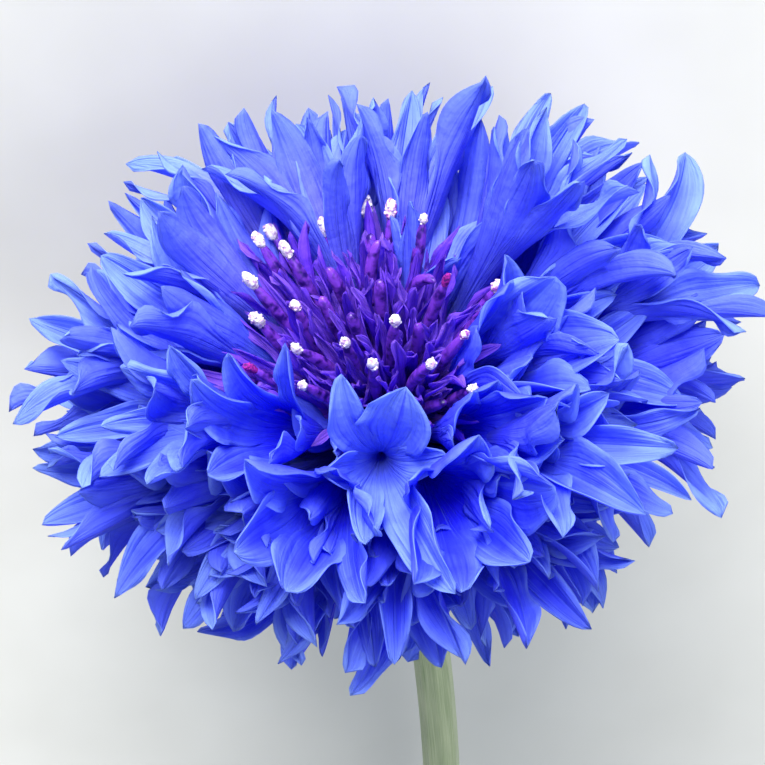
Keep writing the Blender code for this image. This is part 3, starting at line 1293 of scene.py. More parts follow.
def widest_gaps(
    taken: list[np.ndarray], count: int, lowest: float, highest: float, back_higher: float = 0.0
) -> list[np.ndarray]:
    """Directions in the widest gaps between others.

    From a golden-angle spiral of candidates within a band of elevations, each step takes the
    one whose nearest taken direction is the furthest away.

    Args:
        taken: Unit vectors that are there already.
        count: How many to add.
        lowest: Lowest elevation, in degrees.
        highest: Highest elevation at the near side, in degrees.
        back_higher: How much higher it is at the back, in degrees.

    Returns:
        The added unit vectors.
    """
    k = np.arange(GAP_CANDIDATES)
    sines = np.sin(np.radians([lowest, highest + back_higher]))
    z = sines[0] + (sines[1] - sines[0]) * (k + 0.5) / len(k)
    turn = k * math.pi * (3.0 - math.sqrt(5.0))
    flat = np.sqrt(1.0 - z**2)
    candidates = np.stack([flat * np.cos(turn), flat * np.sin(turn), z], axis=1)
    limit = highest + back_higher * smoothstep(-0.2, 0.5, np.sin(turn))
    candidates = candidates[np.degrees(np.arcsin(z)) <= limit]
    nearest = (candidates @ np.stack(taken).T).max(axis=1)
    added = []
    for _ in range(count):
        best = candidates[int(np.argmin(nearest))]
        added.append(best)
        nearest = np.maximum(nearest, candidates @ best)
    return added


@dataclass(frozen=True)
class Habit:
    """How one listed floret is set: its turn from its solid, its mouth and its lobes."""

    turned: tuple[float, float]
    notch: float
    notch_radius: float
    blades: tuple[Blade, ...]
    funnel: float = 6.5 * MM
    tint: float = -0.12


HABITS = {
    "ray_floret_01": Habit(
        (-8.0, -9.0),
        13.0 * MM,
        1.6 * MM,
        (
            Blade(232, 12, 8.5, 1.7, cup=0.9, roll=0.3),
            Blade(208, 35, 7.0, 1.3, fold=0.4),
            Blade(176, 62, 6.5, 1.0, cup=1.0),
            Blade(350, 8, 7.0, 1.6),
            Blade(72, 8, 6.0, 1.6, fold=0.5),
            Blade(120, 26, 4.0, 1.2),
        ),
    ),
    "ray_floret_04": Habit(
        (12.0, -6.5),
        12.5 * MM,
        1.5 * MM,
        (
            Blade(176, 12, 5.0, 1.5, cup=1.0),
            Blade(96, 10, 7.5, 1.9, fold=0.4),
            Blade(48, 12, 8.0, 1.9),
            Blade(356, 12, 6.0, 1.6, fold=0.5),
            Blade(252, 10, 4.0, 1.2),
            Blade(140, 20, 5.0, 1.3),
        ),
    ),
    "ray_floret_07": Habit(
        (-9.0, 8.0),
        11.0 * MM,
        1.8 * MM,
        (
            Blade(100, 8, 8.0, 2.6, blunt=0.9, cup=0.4),
            Blade(24, 23, 9.0, 2.7, blunt=0.7),
            Blade(340, 25, 8.0, 2.0, fold=0.4),
            Blade(148, 8, 7.0, 1.8, blunt=0.8),
            Blade(200, 12, 5.0, 1.4),
            Blade(288, 28, 7.0, 1.6, fold=0.5),
        ),
    ),
    "ray_floret_09": Habit(
        (-7.0, -5.0),
        13.0 * MM,
        1.9 * MM,
        (
            Blade(216, 36, 8.0, 1.9, cup=0.9, roll=0.4),
            Blade(285, 14, 7.8, 2.5, cup=0.7),
            Blade(345, 8, 7.2, 2.4, cup=0.7),
            Blade(55, 24, 9.0, 1.4, blunt=0.9),
            Blade(104, 24, 6.8, 1.7, blunt=0.9, roll=-0.4),
            Blade(158, 30, 4.5, 1.5),
        ),
    ),
    "ray_floret_17": Habit(
        (8.0, 8.0),
        13.5 * MM,
        2.1 * MM,
        (
            Blade(104, 20, 8.8, 3.0, blunt=1.0, cup=0.45),
            Blade(150, 48, 5.0, 1.9, blunt=0.9, roll=0.5),
            Blade(215, 30, 5.0, 1.5),
            Blade(285, 15, 8.5, 1.8, fold=0.5),
            Blade(330, 8, 7.2, 1.9, blunt=0.8),
            Blade(40, 8, 7.5, 2.2, cup=0.8),
        ),
    ),
}
FRONT = Habit(
    (0.0, 0.0),
    12.5 * MM,
    1.25 * MM,
    (
        Blade(190, 65, 7.2, 1.4, cup=0.4, blunt=0.2),
        Blade(153, 53, 7.0, 2.4, cup=0.5, blunt=0.8),
        Blade(95, 68, 4.2, 1.2, blunt=0.8),
        Blade(28, 62, 10.0, 1.8, cup=0.9, fold=0.4, twist=15.0),
        Blade(345, 22, 6.8, 1.4, cup=0.9),
        Blade(262, 32, 4.2, 1.3, roll=0.4),
    ),
    funnel=3.2 * MM,
    tint=0.6,
)


# A floret's direction, its trumpet, its own axes as rows, and the solids that it replaces.
Floret = tuple[np.ndarray, Trumpet, np.ndarray, tuple[str, ...]]


@dataclass
class RayFlorets:
    """The rings of blue trumpets: one for each of the frame's, and more in their widest gaps.

    The front one stands between two named neighbours, and a few others are listed one by one. The
    last one closes the opening, an azimuth and elevation in degrees, at the back. Reaches are
    distances of the tips from the hub by elevation, and side_gains are added to them by
    azimuth, in millimetres. The florets near the listed ones stand back from them, by less
    where they stand for a solid. Spreads are how much florets differ: the roll's in radians,
    the lean's in degrees and the others' as shares.
    """

    names: list[str]
    extra: int = 43
    extra_band: tuple[float, float] = (-16.0, 45.0)
    extra_back_higher: float = 9.0
    extra_shorter: tuple[float, float] = (1.4, 3.4)
    scatter: float = 2.5
    stands_back: float = 1.6 * MM
    extra_stands_back: float = 3.4 * MM
    beside_from: float = 30.0
    beside_to: float = 12.0
    foot: float = 4.3 * MM
    counts: tuple[int, ...] = (6, 7, 7, 8, 8)
    lobe_length: float = 8.0 * MM
    lobe_share: float = 10.2 * MM
    lobe_lean: float = 31.0
    inner_shorter: float = 0.08
    back_longer: float = 0.55
    back_narrower: float = 0.24
    back_steeper: float = 8.0
    blunt: float = 0.8
    back_sharper: float = 0.5
    length_spread: float = 0.07
    lean_spread: float = 6.0
    reach_spread: float = 0.02
    roll_spread: float = 0.35
    furthest: float = 1.02
    notch_radius: float = 1.65 * MM
    tube_radius: float = 0.3 * MM
    thicker_tube: float = 1.6
    funnel: float = 6.5 * MM
    reach_elevations: tuple[float, ...] = (-14.0, 8.0, 45.0, 57.0)
    reaches: tuple[float, ...] = (20.2 * MM, 23.2 * MM, 22.8 * MM, 20.0 * MM)
    side_azimuths: tuple[float, ...] = (
        -155.0, -142.0, -130.0, -118.0, -106.0, -94.0, -82.0, -50.0, -28.0,
        0.0, 22.0, 46.0, 68.0, 96.0, 116.0, 130.0, 175.0,
    )
    side_gains: tuple[float, ...] = (
        0.2, -4.8, 0.6, 0.2, -3.6, 3.2, 3.4, 2.2, -1.2,
        2.6, 4.4, -0.8, 0.8, 2.8, 0.6, 0.2, 0.9,
    )
    near_short: float = 0.3
    tints: tuple[float, float] = (0.05, 0.45)
    # Painted light and shade by place: florets at the back and the left are paler, those on the
    # near side deeper.
    back_painted_backlight: float = 1.0
    left_painted_light: float = 0.3
    near_painted_shade: float = 0.38
    # Painted backlight: how far upright florets at the back turn pale violet.
    painted_backlight: float = 0.95
    opening: tuple[float, float] = (101.0, 38.0)
    front_between: tuple[tuple[str, float], ...] = (("ray_floret_09", 0.7), ("ray_floret_04", 0.36))

    def build(self, space: FlowerSpace) -> list[np.ndarray]:
        """Makes every floret around its solid's own direction, then the ones between.

        Args:
            space: The flower's space.

        Returns:
            The direction of each floret, the listed ones first.
        """
        made = self.set_by_hand(space)
        set_ones = np.stack([direction for direction, *_ in made])
        for number, name in enumerate(self.names):
            if name in HABITS:
                continue
            rng = np.random.default_rng(RAY_SEEDS + number)
            azimuth, elevation = azimuth_elevation(space.direction(name))
            azimuth += self.scatter * bell(rng)
            elevation += self.scatter * bell(rng)
            direction = ray_direction(azimuth, elevation)
            shorter = self.stand_back(set_ones, direction, self.stands_back)
            made.append((direction, *self.floret(rng, direction, shorter), (name,)))
        taken = [direction for direction, *_ in made]
        between = widest_gaps(taken, self.extra, *self.extra_band, self.extra_back_higher)
        between.append(ray_direction(*self.opening))
        for number, direction in enumerate(between):
            rng = np.random.default_rng(BETWEEN_SEEDS + number)
            shorter = rng.uniform(*self.extra_shorter) * MM
            shorter += self.stand_back(set_ones, direction, self.extra_stands_back)
            made.append((direction, *self.floret(rng, direction, shorter), ()))
        material = RAY_PETAL.material()
        for number, (_, trumpet, axes, replaced) in enumerate(made):
            body = trumpet.body()
            body.points = body.points @ axes
            put_piece(space, body, f"blue_floret_{number + 1:02d}", material, replaced)
        return [direction for direction, *_ in made]

    def set_by_hand(self, space: FlowerSpace) -> list[Floret]:
        """The florets of HABITS, turned from their solids, and the front one.

        Args:
            space: The flower's space.

        Returns:
            Each floret's direction, trumpet, axes and the solids that it replaces.
        """
        habits: list[tuple[np.ndarray, Habit, tuple[str, ...]]] = []
        for name, habit in HABITS.items():
            azimuth, elevation = azimuth_elevation(space.direction(name))
            turned = ray_direction(azimuth + habit.turned[0], elevation + habit.turned[1])
            habits.append((turned, habit, (name,)))
        front = unit(sum(share * space.direction(name) for name, share in self.front_between))
        habits.append((front, FRONT, ()))
        made = []
        for number, (direction, habit, replaced) in enumerate(habits):
            rng = np.random.default_rng(HAND_SET_SEEDS + number)
            made.append((direction, *self.set_floret(rng, direction, habit), replaced))
        return made

    def stand_back(self, set_ones: np.ndarray, direction: np.ndarray, most: float) -> float:
        """How much shorter a floret is for the listed ones beside it.

        Args:
            set_ones: Directions of the listed florets.
            direction: The floret's direction.
            most: Shortening right beside one.

        Returns:
            The shortening.
        """
        beside = np.degrees(np.arccos(np.clip(np.max(set_ones @ direction), -1.0, 1.0)))
        return float(most * smoothstep(self.beside_from, self.beside_to, beside))

    def set_floret(
        self, rng: np.random.Generator, direction: np.ndarray, habit: Habit
    ) -> tuple[Trumpet, np.ndarray]:
        """A floret that is set from its listed habit.

        Args:
            rng: Source of its small differences.
            direction: Its direction in the flower's space.
            habit: How it is set.

        Returns:
            The trumpet, and its own axes as rows.
        """
        lobes, roll = Lobes.posed(rng, habit.blades)
        trumpet = Trumpet(
            foot=self.foot,
            throat=habit.notch - habit.funnel,
            notch=habit.notch,
            tube_radius=self.tube_radius,
            notch_radius=habit.notch_radius,
            lobes=lobes,
            tint=habit.tint,
        )
        return trumpet, turned_to(direction, roll)

    def floret(
        self, rng: np.random.Generator, direction: np.ndarray, shorter: float
    ) -> tuple[Trumpet, np.ndarray]:
        """Shape and axes of the floret that stands in one direction.

        Args:
            rng: Source of its differences from the others.
            direction: Its direction in the flower's space.
            shorter: How much less it reaches than the florets around it.

        Returns:
            The trumpet, and its own axes as rows.
        """
        elevation = azimuth_elevation(direction)[1]
        inner = smoothstep(30.0, 60.0, elevation)
        upright = smoothstep(15.0, 42.0, elevation)
        back, near, left = (max(0.0, side) for side in (direction[1], -direction[1], -direction[0]))
        count = int(rng.choice(self.counts))
        length = self.lobe_length * (1.0 - self.inner_shorter * inner + self.back_longer * back)
        length = length * (1.0 + self.length_spread * bell(rng))
        lean = self.lobe_lean - self.back_steeper * back + self.lean_spread * bell(rng)
        reach = self.reach(direction, shorter) * (1.0 + self.reach_spread * bell(rng))
        notch = reach - 0.90 * length
        half_width = self.lobe_share / count * (1.0 - self.back_narrower * back)
        blunt = self.blunt - self.back_sharper * back
        lobes = Lobes.draw(rng, count, length, half_width, math.radians(lean), blunt=blunt)
        furthest = (reach * self.furthest - notch) / np.cos(0.7 * lobes.lean)
        lobes = replace(lobes, length=np.minimum(lobes.length, furthest))
        # Painted light and shade: paler at the back and the left, deeper on the near side, by where
        # the floret stands.
        paler = self.back_painted_backlight * back + self.left_painted_light * left - self.near_painted_shade * near
        trumpet = Trumpet(
            foot=self.foot,
            throat=notch - self.funnel,
            notch=notch,
            tube_radius=self.tube_radius * self.thicker_tube,
            notch_radius=self.notch_radius * (1.0 - 0.12 * back + 0.1 * bell(rng)),
            lobes=lobes,
            tint=rng.uniform(*self.tints) + paler,
            # Painted backlight on upright florets at the back.
            painted_backlight=self.painted_backlight * smoothstep(0.1, 0.6, back) * upright * rng.uniform(0.4, 1.0),
        )
        return trumpet, turned_to(direction, roll=self.roll_spread * bell(rng))

    def reach(self, direction: np.ndarray, shorter: float) -> float:
        """How far a floret's tips stand from the hub.

        Args:
            direction: Its direction in the flower's space.
            shorter: How much less it reaches than the florets around it.

        Returns:
            The distance: by elevation, plus the gain by azimuth where it isn't on the table,
            less a share of it where it hangs on the near side.
        """
        azimuth, elevation = azimuth_elevation(direction)
        reach = np.interp(elevation, self.reach_elevations, self.reaches) - shorter
        on_table = max(0.0, direction[1]) * (1.0 - smoothstep(5.0, 30.0, elevation))
        gain = np.interp(azimuth, self.side_azimuths, self.side_gains, period=360.0) * MM
        hanging = max(0.0, -direction[1]) * (1.0 - smoothstep(0.0, 40.0, elevation))
        return float((reach + gain * (1.0 - on_table)) * (1.0 - self.near_short * hanging))


class Tip(Enum):
    """What shows at the end of an anther tube."""

    POLLEN = "pollen"
    FADED = "faded"
    STYLE = "style"
    CLOSED = "closed"


@dataclass
class DiscFlorets:
    """The violet florets in the middle, with their anther tubes, pollen and styles.

    The outer ones, at the lower elevation, are longer, wider and higher. Within a few degrees
    of the flower's axis the anther tubes are more often closed. A tip is drawn from its list,
    so one that is there more often is more common. Those beside the front blue floret, from
    one angle to a smaller one in degrees, are lower.
    """

    names: list[str]
    extra: int = 26
    extra_band: tuple[float, float] = (46.0, 90.0)
    reach: float = 14.6 * MM
    foot: float = 4.3 * MM
    lobe_length: float = 3.8 * MM
    outer_longer: float = 3.2 * MM
    half_width: float = 0.32 * MM
    outer_wider: float = 0.18 * MM
    lobe_lean: float = 20.0
    below_stamens: float = 2.6 * MM
    outer_higher: float = 1.6 * MM
    funnel: float = 2.2 * MM
    tube_radius: float = 0.3 * MM
    notch_radius: float = 0.72 * MM
    wall: float = 0.11 * MM
    anther_length: float = 4.4 * MM
    anther_longer: float = 1.2 * MM
    anther_radius: float = 0.40 * MM
    bow: float = 0.45 * MM
    closed_bow: float = 1.3 * MM
    closed_drop: float = 0.9 * MM
    tuft: float = 0.42 * MM
    style: float = 0.27 * MM
    tips: tuple[Tip, ...] = (*[Tip.POLLEN] * 5, *[Tip.FADED] * 2, *[Tip.STYLE] * 2, Tip.CLOSED)
    middle_tips: tuple[Tip, ...] = (Tip.POLLEN, Tip.CLOSED, Tip.CLOSED)
    closed_within: float = 20.0
    inner_elevation: float = 78.0
    outer_elevation: float = 52.0
    beside_from: float = 23.0
    beside_to: float = 16.0
    beside_front: float = 3.2 * MM
    back_taller: float = 1.2 * MM
    grains_each: int = 16

    def build(self, space: FlowerSpace, rays: list[np.ndarray]) -> None:
        """Makes the florets that the frame holds, then the ones that fill the gaps.

        Args:
            space: The flower's space.
            rays: Directions of the blue florets, with the front one after those of HABITS.
        """
        petal, anther = DISC_PETAL.material(), ANTHER.material()
        finishes = {Tip.POLLEN: POLLEN, Tip.FADED: FADED, Tip.STYLE: STIGMA}
        ends = {tip: finish.material() for tip, finish in finishes.items()}
        directions = [space.direction(name) for name in self.names]
        directions += widest_gaps(directions + rays, self.extra, *self.extra_band)
        front = rays[len(HABITS)]
        for number, direction in enumerate(directions):
            replaced = (self.names[number],) if number < len(self.names) else ()
            label = f"{number + 1:02d}"
            rng = np.random.default_rng(DISC_SEEDS + number)
            axes = turned_to(direction, roll=rng.uniform(0.0, math.tau))
            reach = self.reach_of(rng, direction, front)
            elevation = azimuth_elevation(direction)[1]
            outer = smoothstep(self.inner_elevation, self.outer_elevation, elevation)
            corolla = self.corolla(rng, reach, float(outer)).body()
            tip = rng.choice(self.tips)
            if elevation > 90.0 - self.closed_within:
                tip = rng.choice(self.middle_tips)
            stamens, end = self.anther_tube(rng, reach, tip)
            pieces = [(f"violet_floret_{label}", corolla, petal, replaced)]
            pieces.append((f"anther_tube_{label}", stamens, anther, ()))
            if tip is not Tip.CLOSED:
                grains = self.grains(rng, end, tip)
                pieces.append((f"{tip.value}_{label}", grains, ends[tip], ()))
            for name, surface, material, stands_for in pieces:
                surface.points = surface.points @ axes
                put_piece(space, surface, name, material, stands_for)

    def reach_of(self, rng: np.random.Generator, direction: np.ndarray, front: np.ndarray) -> float:
        """How far a floret's stamens stand from the hub.

        Args:
            rng: Source of its difference from the others.
            direction: Its direction in the flower's space.
            front: Direction of the front blue floret.

        Returns:
            The distance, less beside the front floret and more at the back.
        """
        beside = np.degrees(np.arccos(np.clip(front @ direction, -1.0, 1.0)))
        lower = self.beside_front * smoothstep(self.beside_from, self.beside_to, beside)
        taller = self.back_taller * smoothstep(0.1, 0.5, direction[1])
        return float(self.reach * (1.0 + 0.05 * bell(rng)) - lower + taller)

    def corolla(self, rng: np.random.Generator, reach: float, outer: float) -> Trumpet:
        """A violet tube with five narrow upright lobes, longer and paler towards the edge.

        Args:
            rng: Source of its differences from the others.
            reach: How far the floret's stamens stand from the hub.
            outer: 0 in the middle of the disc and 1 at its edge.

        Returns:
            The trumpet.
        """
        length = (self.lobe_length + self.outer_longer * outer) * (1.0 + 0.12 * bell(rng))
        half_width = self.half_width + self.outer_wider * outer
        lean = math.radians(self.lobe_lean - 6.0 * outer + 6.0 * bell(rng))
        lobes = Lobes.draw(rng, 5, length, half_width, lean, droop=0.0, spread=0.8)
        notch = reach - (self.below_stamens - self.outer_higher * outer) - 0.95 * length
        return Trumpet(
            foot=self.foot,
            throat=notch - self.funnel,
            notch=notch,
            tube_radius=self.tube_radius,
            notch_radius=self.notch_radius,
            lobes=lobes,
            columns=6,
            funnel_rows=10,
            lobe_rows=13,
            wall=self.wall,
            tint=rng.uniform(0.0, 0.25) + 0.3 * outer,
        )

    def anther_tube(
        self, rng: np.random.Generator, reach: float, tip: Tip
    ) -> tuple[Surface, np.ndarray]:
        """The dark tube of joined anthers; a closed one bows over and ends in a blunt point.

        Its middle line is a parabola sideways, and its radius bulges by a half sine and closes
        at the end as sqrt(1 - t^7).

        Args:
            rng: Source of its differences from the others.
            reach: Height of its end.
            tip: What shows at its end.

        Returns:
            The surface and its end point.
        """
        length = self.anther_length + self.anther_longer * rng.uniform()
        share = np.linspace(0.0, 1.0, 20)
        bow = (self.closed_bow if tip is Tip.CLOSED else self.bow) * bell(rng)
        height = reach - 0.5 * MM - length * (1.0 - share)
        if tip is Tip.CLOSED:
            height = height - self.closed_drop * share**4
        path = np.stack([bow * share**2, 0.5 * bow * share**2, height], axis=1)
        blunt = np.sqrt(np.clip(1.02 - share**7, 0.03, 1.0))
        radii = self.anther_radius * (0.8 + 0.2 * np.sin(math.pi * share)) * blunt
        return tube(path, radii, 20, ribs=0.06), path[-1]

    def grains(self, rng: np.random.Generator, end: np.ndarray, tip: Tip) -> Surface:
        """A tuft of pollen, or the split hairy end of a style, as a few lumpy beads.

        Args:
            rng: Source of its differences from the others.
            end: Where the anther tube ends.
            tip: Which of the two it is.

        Returns:
            The closed surfaces, as one.
        """
        size = (self.style if tip is Tip.STYLE else self.tuft) * rng.uniform(0.75, 1.25)
        tall = 2.3 if tip is Tip.STYLE else rng.uniform(1.2, 1.9)
        body = size * np.array([0.85, 0.85, tall])
        middle = end + [0.0, 0.0, 0.3 * size * tall]
        beads = [bead(middle, body, rng, 0.07, 14)]
        for _ in range(self.grains_each):
            out = unit(rng.normal(size=3)) * body * rng.uniform(0.85, 1.05)
            grain = size * rng.uniform(0.14, 0.30) * np.ones(3)
            beads.append(bead(middle + out, grain, rng, 0.1, 5))
        return joined(beads)


# ---------------------------------------------------------------------------------------------
# Bed, cup and stem
# ---------------------------------------------------------------------------------------------


@dataclass
class FloretBed:
    """The bed that the florets stand on: the frame's own solid, in a dark violet that is painted
    shade between the florets.
    """

    node: str = "receptacle"

    def build(self) -> None:
        """Gives the solid its dark violet finish, painted shade between the florets."""
        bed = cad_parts[self.node]
        bed.data.materials.clear()
        bed.data.materials.append(BED_PAINTED_SHADE.material())
        log.info("%s: kept, %d faces", self.node, len(bed.data.polygons))


@dataclass
class Involucre:
    """The scaly green cup under the florets: overlapping fringed bracts in six rings."""

    names: list[str]
    rings: int = 6
    per_ring: int = 9
    foot: float = -15.4 * MM
    belly: float = -8.6 * MM
    top: float = -1.5 * MM
    neck: float = 1.35 * MM
    bulge: float = 3.7 * MM
    waist: float = 0.5 * MM
    first_foot: float = -8.0 * MM
    feet_down: float = 7.45 * MM
    first_length: float = 8.2 * MM
    lengths_down: float = 4.0 * MM
    half_width: float = 2.0 * MM
    teeth: float = 8.5
    tooth: float = 0.34 * MM
    ring_step: float = 0.12 * MM
    stand_off: float = 0.10 * MM
    tip_rise: float = 0.25 * MM
    tip_bend: float = 0.5 * MM
    crown: float = 0.22 * MM
    wall: float = 0.22 * MM
    grid: tuple[int, int] = (40, 13)

    def cup_radius(self, height: np.ndarray) -> np.ndarray:
        """Radius of the cup at a height.

        A quarter ellipse from the stem out to the belly, less a smooth step in to the neck:
        neck + bulge * sqrt(t (2 - t)) - waist * step, with t the share of the way to the belly.

        Args:
            height: Heights along the flower's axis.

        Returns:
            The radii.
        """
        t = np.clip((height - self.foot) / (self.belly - self.foot), 0.0, 1.0)
        step = smoothstep(self.belly, self.top, height)
        return self.neck + self.bulge * np.sqrt(t * (2.0 - t)) - self.waist * step

    def build(self, space: FlowerSpace) -> None:
        """Makes the rings from the innermost, highest one to the lowest.

        Args:
            space: The flower's space.
        """
        material = BRACT_SKIN.material()
        waiting = list(self.names)
        for ring in range(self.rings):
            share = ring / (self.rings - 1)
            foot = self.first_foot - self.feet_down * share
            length = self.first_length - self.lengths_down * share
            for k in range(self.per_ring):
                rng = np.random.default_rng(BRACT_SEEDS + 20 * ring + k)
                turn = math.tau * (k + 0.5 * (ring % 2)) / self.per_ring + 0.05 * bell(rng)
                scale = self.bract(rng, foot, length, ring, turn)
                replaced = (waiting.pop(),) if waiting and (k + ring) % 2 == 0 else ()
                name = f"bract_{ring + 1}_{k + 1}"
                put_piece(space, scale, name, material, replaced)

    def bract(
        self, rng: np.random.Generator, foot: float, length: float, ring: int, turn: float
    ) -> Surface:
        """One scale, wrapped around the cup.

        Half width is a lance shape with teeth near the top; the surface stands off the cup by
        a small step for each ring, plus a free tip that bends outwards.

        Args:
            rng: Source of its differences from the others.
            foot: Height of its foot.
            length: Its length.
            ring: Which ring it stands in, 0 for the innermost.
            turn: Its place around the cup, in radians.

        Returns:
            The closed surface.
        """
        rows, columns = self.grid
        s = np.linspace(0.0, 1.0, rows)[:, None]
        u = np.linspace(-1.0, 1.0, columns)[None, :]
        half = self.half_width * (0.62 + 0.38 * np.sin(math.pi * np.clip(s / 0.6, 0, 1) / 2))
        half = half * np.maximum(1.0 - np.clip((s - 0.45) / 0.55, 0, 1) ** 1.7, 0.03)
        zigzag = 2.0 * np.abs(((s * self.teeth) % 1.0) - 0.5)
        half = half + self.tooth * zigzag * smoothstep(0.45, 0.7, s)
        height = foot + length * s
        stand = self.ring_step * ring * smoothstep(self.foot, self.foot + 3.0 * MM, height)
        stand = stand + self.stand_off + self.tip_rise * s
        stand = stand + self.tip_bend * s**5 * rng.uniform(0.5, 1.5)
        radius = self.cup_radius(height) + stand
        angle = turn + half * u / radius
        bulge = (1.0 - u**2) * (1.0 - s) * smoothstep(self.foot, self.belly, height)
        reach = radius + self.crown * bulge
        level = np.broadcast_to(height, angle.shape)
        points = np.stack([reach * np.cos(angle), reach * np.sin(angle), level], axis=-1)
        edge = np.maximum(np.abs(u) ** 4, smoothstep(0.9, 1.0, s)) * smoothstep(0.4, 0.62, s)
        scale = Surface(
            points.reshape(-1, 3),
            lattice(rows, columns, False),
            values={"margin": edge.ravel()},
            quad_uv=lattice_uv(rows, columns - 1, columns - 1, rows - 1),
            triangle_uv=np.empty((0, 3, 2)),
        )
        return scale.walled(self.wall)


@dataclass
class Stem:
    """The bare stem: ribbed, a little downy, with a cut end.

    The cut face is rounded by a few close rings: their heights above the end, their radii as
    shares of the stem's, and how far each is in the pith. The collar under the cup is a
    swelling of so much over so long.
    """

    rings: int = 90
    sides: int = 40
    ribs: int = 8
    rib_height: float = 0.035
    radius_top: float = 1.3 * MM
    radius_end: float = 1.45 * MM
    overlap: float = 1.2 * MM
    collar: float = 0.4 * MM
    collar_length: float = 1.6 * MM
    cut_back: float = 0.3 * MM
    cut_heights: tuple[float, ...] = (0.0, 0.01 * MM, 0.02 * MM, 0.04 * MM, 0.12 * MM)
    cut_radii: tuple[float, ...] = (0.3, 0.62, 0.86, 0.95, 1.0)
    cut_pith: tuple[float, ...] = (1.0, 0.9, 0.35, 0.1, 0.0)

    def build(self, space: FlowerSpace) -> None:
        """Makes the stem along the middle line of its solid.

        The line's sideways place is a fourth-order fit of the solid's corners over their
        height. Radius: from top to end in a straight line, with a swelling under the cup,
        times 1 + rib_height * cos(ribs * angle).

        Args:
            space: The flower's space.
        """
        corners = space.local(node_points("stem"))
        height = corners[:, 2]
        fits = [np.polyfit(height, corners[:, k], 4) for k in (0, 1)]
        top, end = height.max() + self.overlap, height.min() + self.cut_back
        cut = len(self.cut_heights)
        z = [end + np.array(self.cut_heights), np.linspace(end, top, self.rings)[1:]]
        z = np.concatenate(z)
        path = np.stack([np.polyval(fits[0], z), np.polyval(fits[1], z), z], axis=1)
        share = (top - z) / (top - end)
        radii = self.radius_top + (self.radius_end - self.radius_top) * share
        radii = radii + self.collar * np.exp(-(((z - top) / self.collar_length) ** 2))
        radii[:cut] *= self.cut_radii
        core = np.zeros(len(z))
        core[:cut] = self.cut_pith
        stem = self.ribbed(path, radii)
        stem.values["core"] = np.concatenate([np.repeat(core, self.sides), [1.0, 0.0]])
        put_piece(space, stem, "stem_skin", STEM_SKIN.material(), ("stem",))

    def ribbed(self, path: np.ndarray, radii: np.ndarray) -> Surface:
        """The round body with its ribs.

        Args:
            path: Centre points, from end to top.
            radii: Radius at each.

        Returns:
            The closed surface, with the values "side" and "up", which are 1 and -1 at
            opposite sides of the stem.
        """
        body = tube(path, radii, self.sides)
        turn = np.tile(np.linspace(0.0, math.tau, self.sides, endpoint=False), len(path))
        ring = body.points[: len(turn)]
        centres = np.repeat(path, self.sides, axis=0)
        swell = 1.0 + self.rib_height * np.cos(self.ribs * turn)
        body.points[: len(turn)] = centres + (ring - centres) * swell[:, None]
        body.values["side"] = np.concatenate([np.cos(turn), [0.0, 0.0]])
        body.values["up"] = np.concatenate([np.sin(turn), [0.0, 0.0]])
        return body


# ---------------------------------------------------------------------------------------------
# Studio
# ---------------------------------------------------------------------------------------------


@dataclass(frozen=True)
class SoftLight:
    """A square light: its place from the hub and its side in metres, and its power in watts."""

    name: str
    away: tuple[float, float, float]
    side: float
    power: float
    colour: Colour

    def hang(self, hub: np.ndarray) -> None:
        """Adds the light to the scene, aimed at the hub.

        Args:
            hub: The middle of the flower's head.
        """
        place = hub + np.array(self.away)
        data = bpy.data.lights.new(self.name, "AREA")
        data.size = self.side
        data.energy = self.power
        data.color = self.colour
        lamp = bpy.data.objects.new(self.name, data)
        lamp.location = place
        lamp.rotation_euler = Vector(hub - place).to_track_quat("-Z", "Y").to_euler()
        bpy.context.scene.collection.objects.link(lamp)


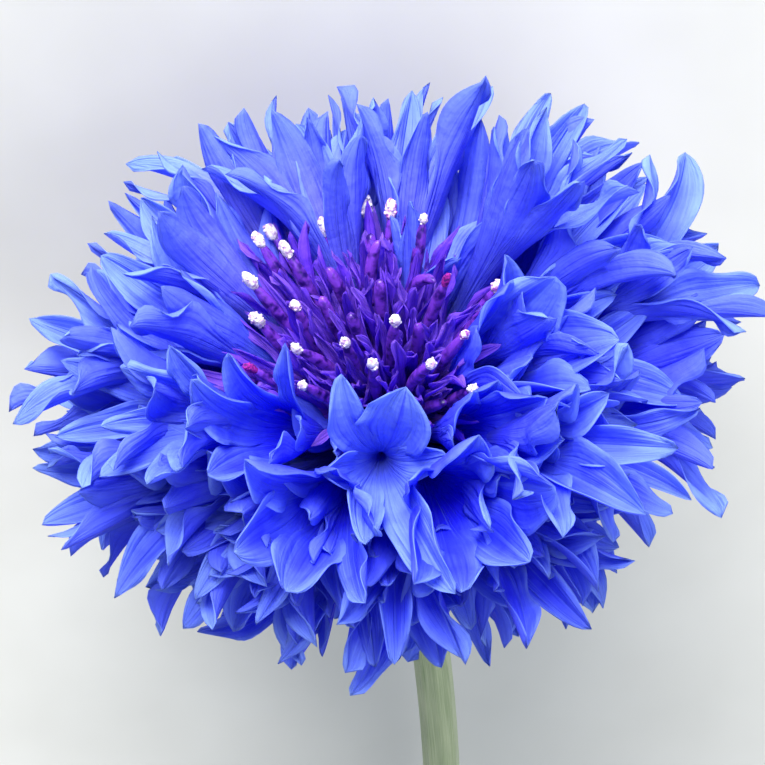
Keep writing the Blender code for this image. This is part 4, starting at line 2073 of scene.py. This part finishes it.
@dataclass
class Studio:
    """Pale table, soft lights, and the camera that looks down on the flower's face.

    The first light is large and in front of the face, the second weaker and above it.
    """

    distance: float = 200.0 * MM
    lens: float = 141.0
    elevation: float = 48.0
    roll: float = 12.0
    aim: tuple[float, float] = (-0.4 * MM, 3.3 * MM)
    sight: tuple[float, float] = (0.01, 20.0)
    table_reach: float = 3.0
    table_shades: tuple[Colour, Colour] = ((0.60, 0.59, 0.55), (0.66, 0.65, 0.61))
    surround: Colour = (0.76, 0.86, 1.0)
    surround_strength: float = 0.46
    soft_lights: tuple[SoftLight, ...] = (
        SoftLight("key", (0.0, -1.24, 0.40), 0.9, 50.0, (1.0, 0.99, 0.97)),
        SoftLight("fill", (-0.35, 0.1, 0.6), 0.7, 3.0, (0.92, 0.96, 1.0)),
    )

    def build(self, space: FlowerSpace) -> None:
        """Makes the table, the lights and the camera.

        Args:
            space: The flower's space.
        """
        self.table()
        self.lights(space)
        self.camera(space)
        bpy.context.scene.view_settings.view_transform = "Standard"

    def table(self) -> None:
        """A plain pale surface, far larger than the flower."""
        tree = ShaderTree("table_pale")
        grain = tree.noise(tree.coordinates("Object"), 60.0, 3.0)
        colour = tree.ramp(grain, list(zip((0.3, 0.7), self.table_shades)))
        shine = tree.node("BsdfPrincipled", {"Base Color": colour, "Roughness": 0.8})
        size = self.table_reach
        mesh = bpy.data.meshes.new("table_top")
        corners = [(-size, -size, 0), (size, -size, 0), (size, size, 0), (-size, size, 0)]
        mesh.from_pydata(corners, [], [(0, 1, 2, 3)])
        mesh.materials.append(tree.finish(shine.outputs[0]))
        top = bpy.data.objects.new("table_top", mesh)
        bpy.context.scene.collection.objects.link(top)

    def lights(self, space: FlowerSpace) -> None:
        """Hangs the lights, and makes the pale surround.

        Args:
            space: The flower's space.
        """
        for light in self.soft_lights:
            light.hang(space.hub)
        world = bpy.data.worlds.new("surround")
        world.use_nodes = True
        ground = world.node_tree.nodes["Background"]
        ground.inputs["Color"].default_value = (*self.surround, 1.0)
        ground.inputs["Strength"].default_value = self.surround_strength
        bpy.context.scene.world = world

    def camera(self, space: FlowerSpace) -> None:
        """A long lens above the flower's face, rolled so that the stem hangs down the view.

        Args:
            space: The flower's space.
        """
        right, back, face = space.axes
        el, roll = math.radians(self.elevation), math.radians(self.roll)
        towards = -math.cos(el) * back + math.sin(el) * face
        up = np.cross(towards, right)
        across = right * math.cos(roll) - up * math.sin(roll)
        upward = right * math.sin(roll) + up * math.cos(roll)
        target = space.hub + self.aim[0] * across + self.aim[1] * upward
        place = target + self.distance * towards
        data = bpy.data.cameras.new("camera")
        data.lens = self.lens
        data.clip_start, data.clip_end = self.sight
        camera = bpy.data.objects.new("camera", data)
        turned = Matrix((across, upward, towards)).transposed().to_4x4()
        camera.matrix_world = Matrix.Translation(place) @ turned
        bpy.context.scene.collection.objects.link(camera)
        bpy.context.scene.camera = camera


def main() -> None:
    """Builds the flower and the studio around it."""
    logging.basicConfig(level=logging.INFO, format="%(message)s")
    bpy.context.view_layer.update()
    names = sorted(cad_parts)
    rays = [name for name in names if name.startswith("ray_floret")]
    discs = [name for name in names if name.startswith("disc_floret")]
    bracts = [name for name in names if name.startswith("bract")]
    space = FlowerSpace.from_frame(rays + discs)
    log.info("hub %s", np.round(space.hub / MM, 2))
    rays_built = RayFlorets(rays).build(space)
    DiscFlorets(discs).build(space, rays_built)
    Involucre(bracts).build(space)
    Stem().build(space)
    FloretBed().build()
    Studio().build(space)


if __name__ == "__main__":
    main()
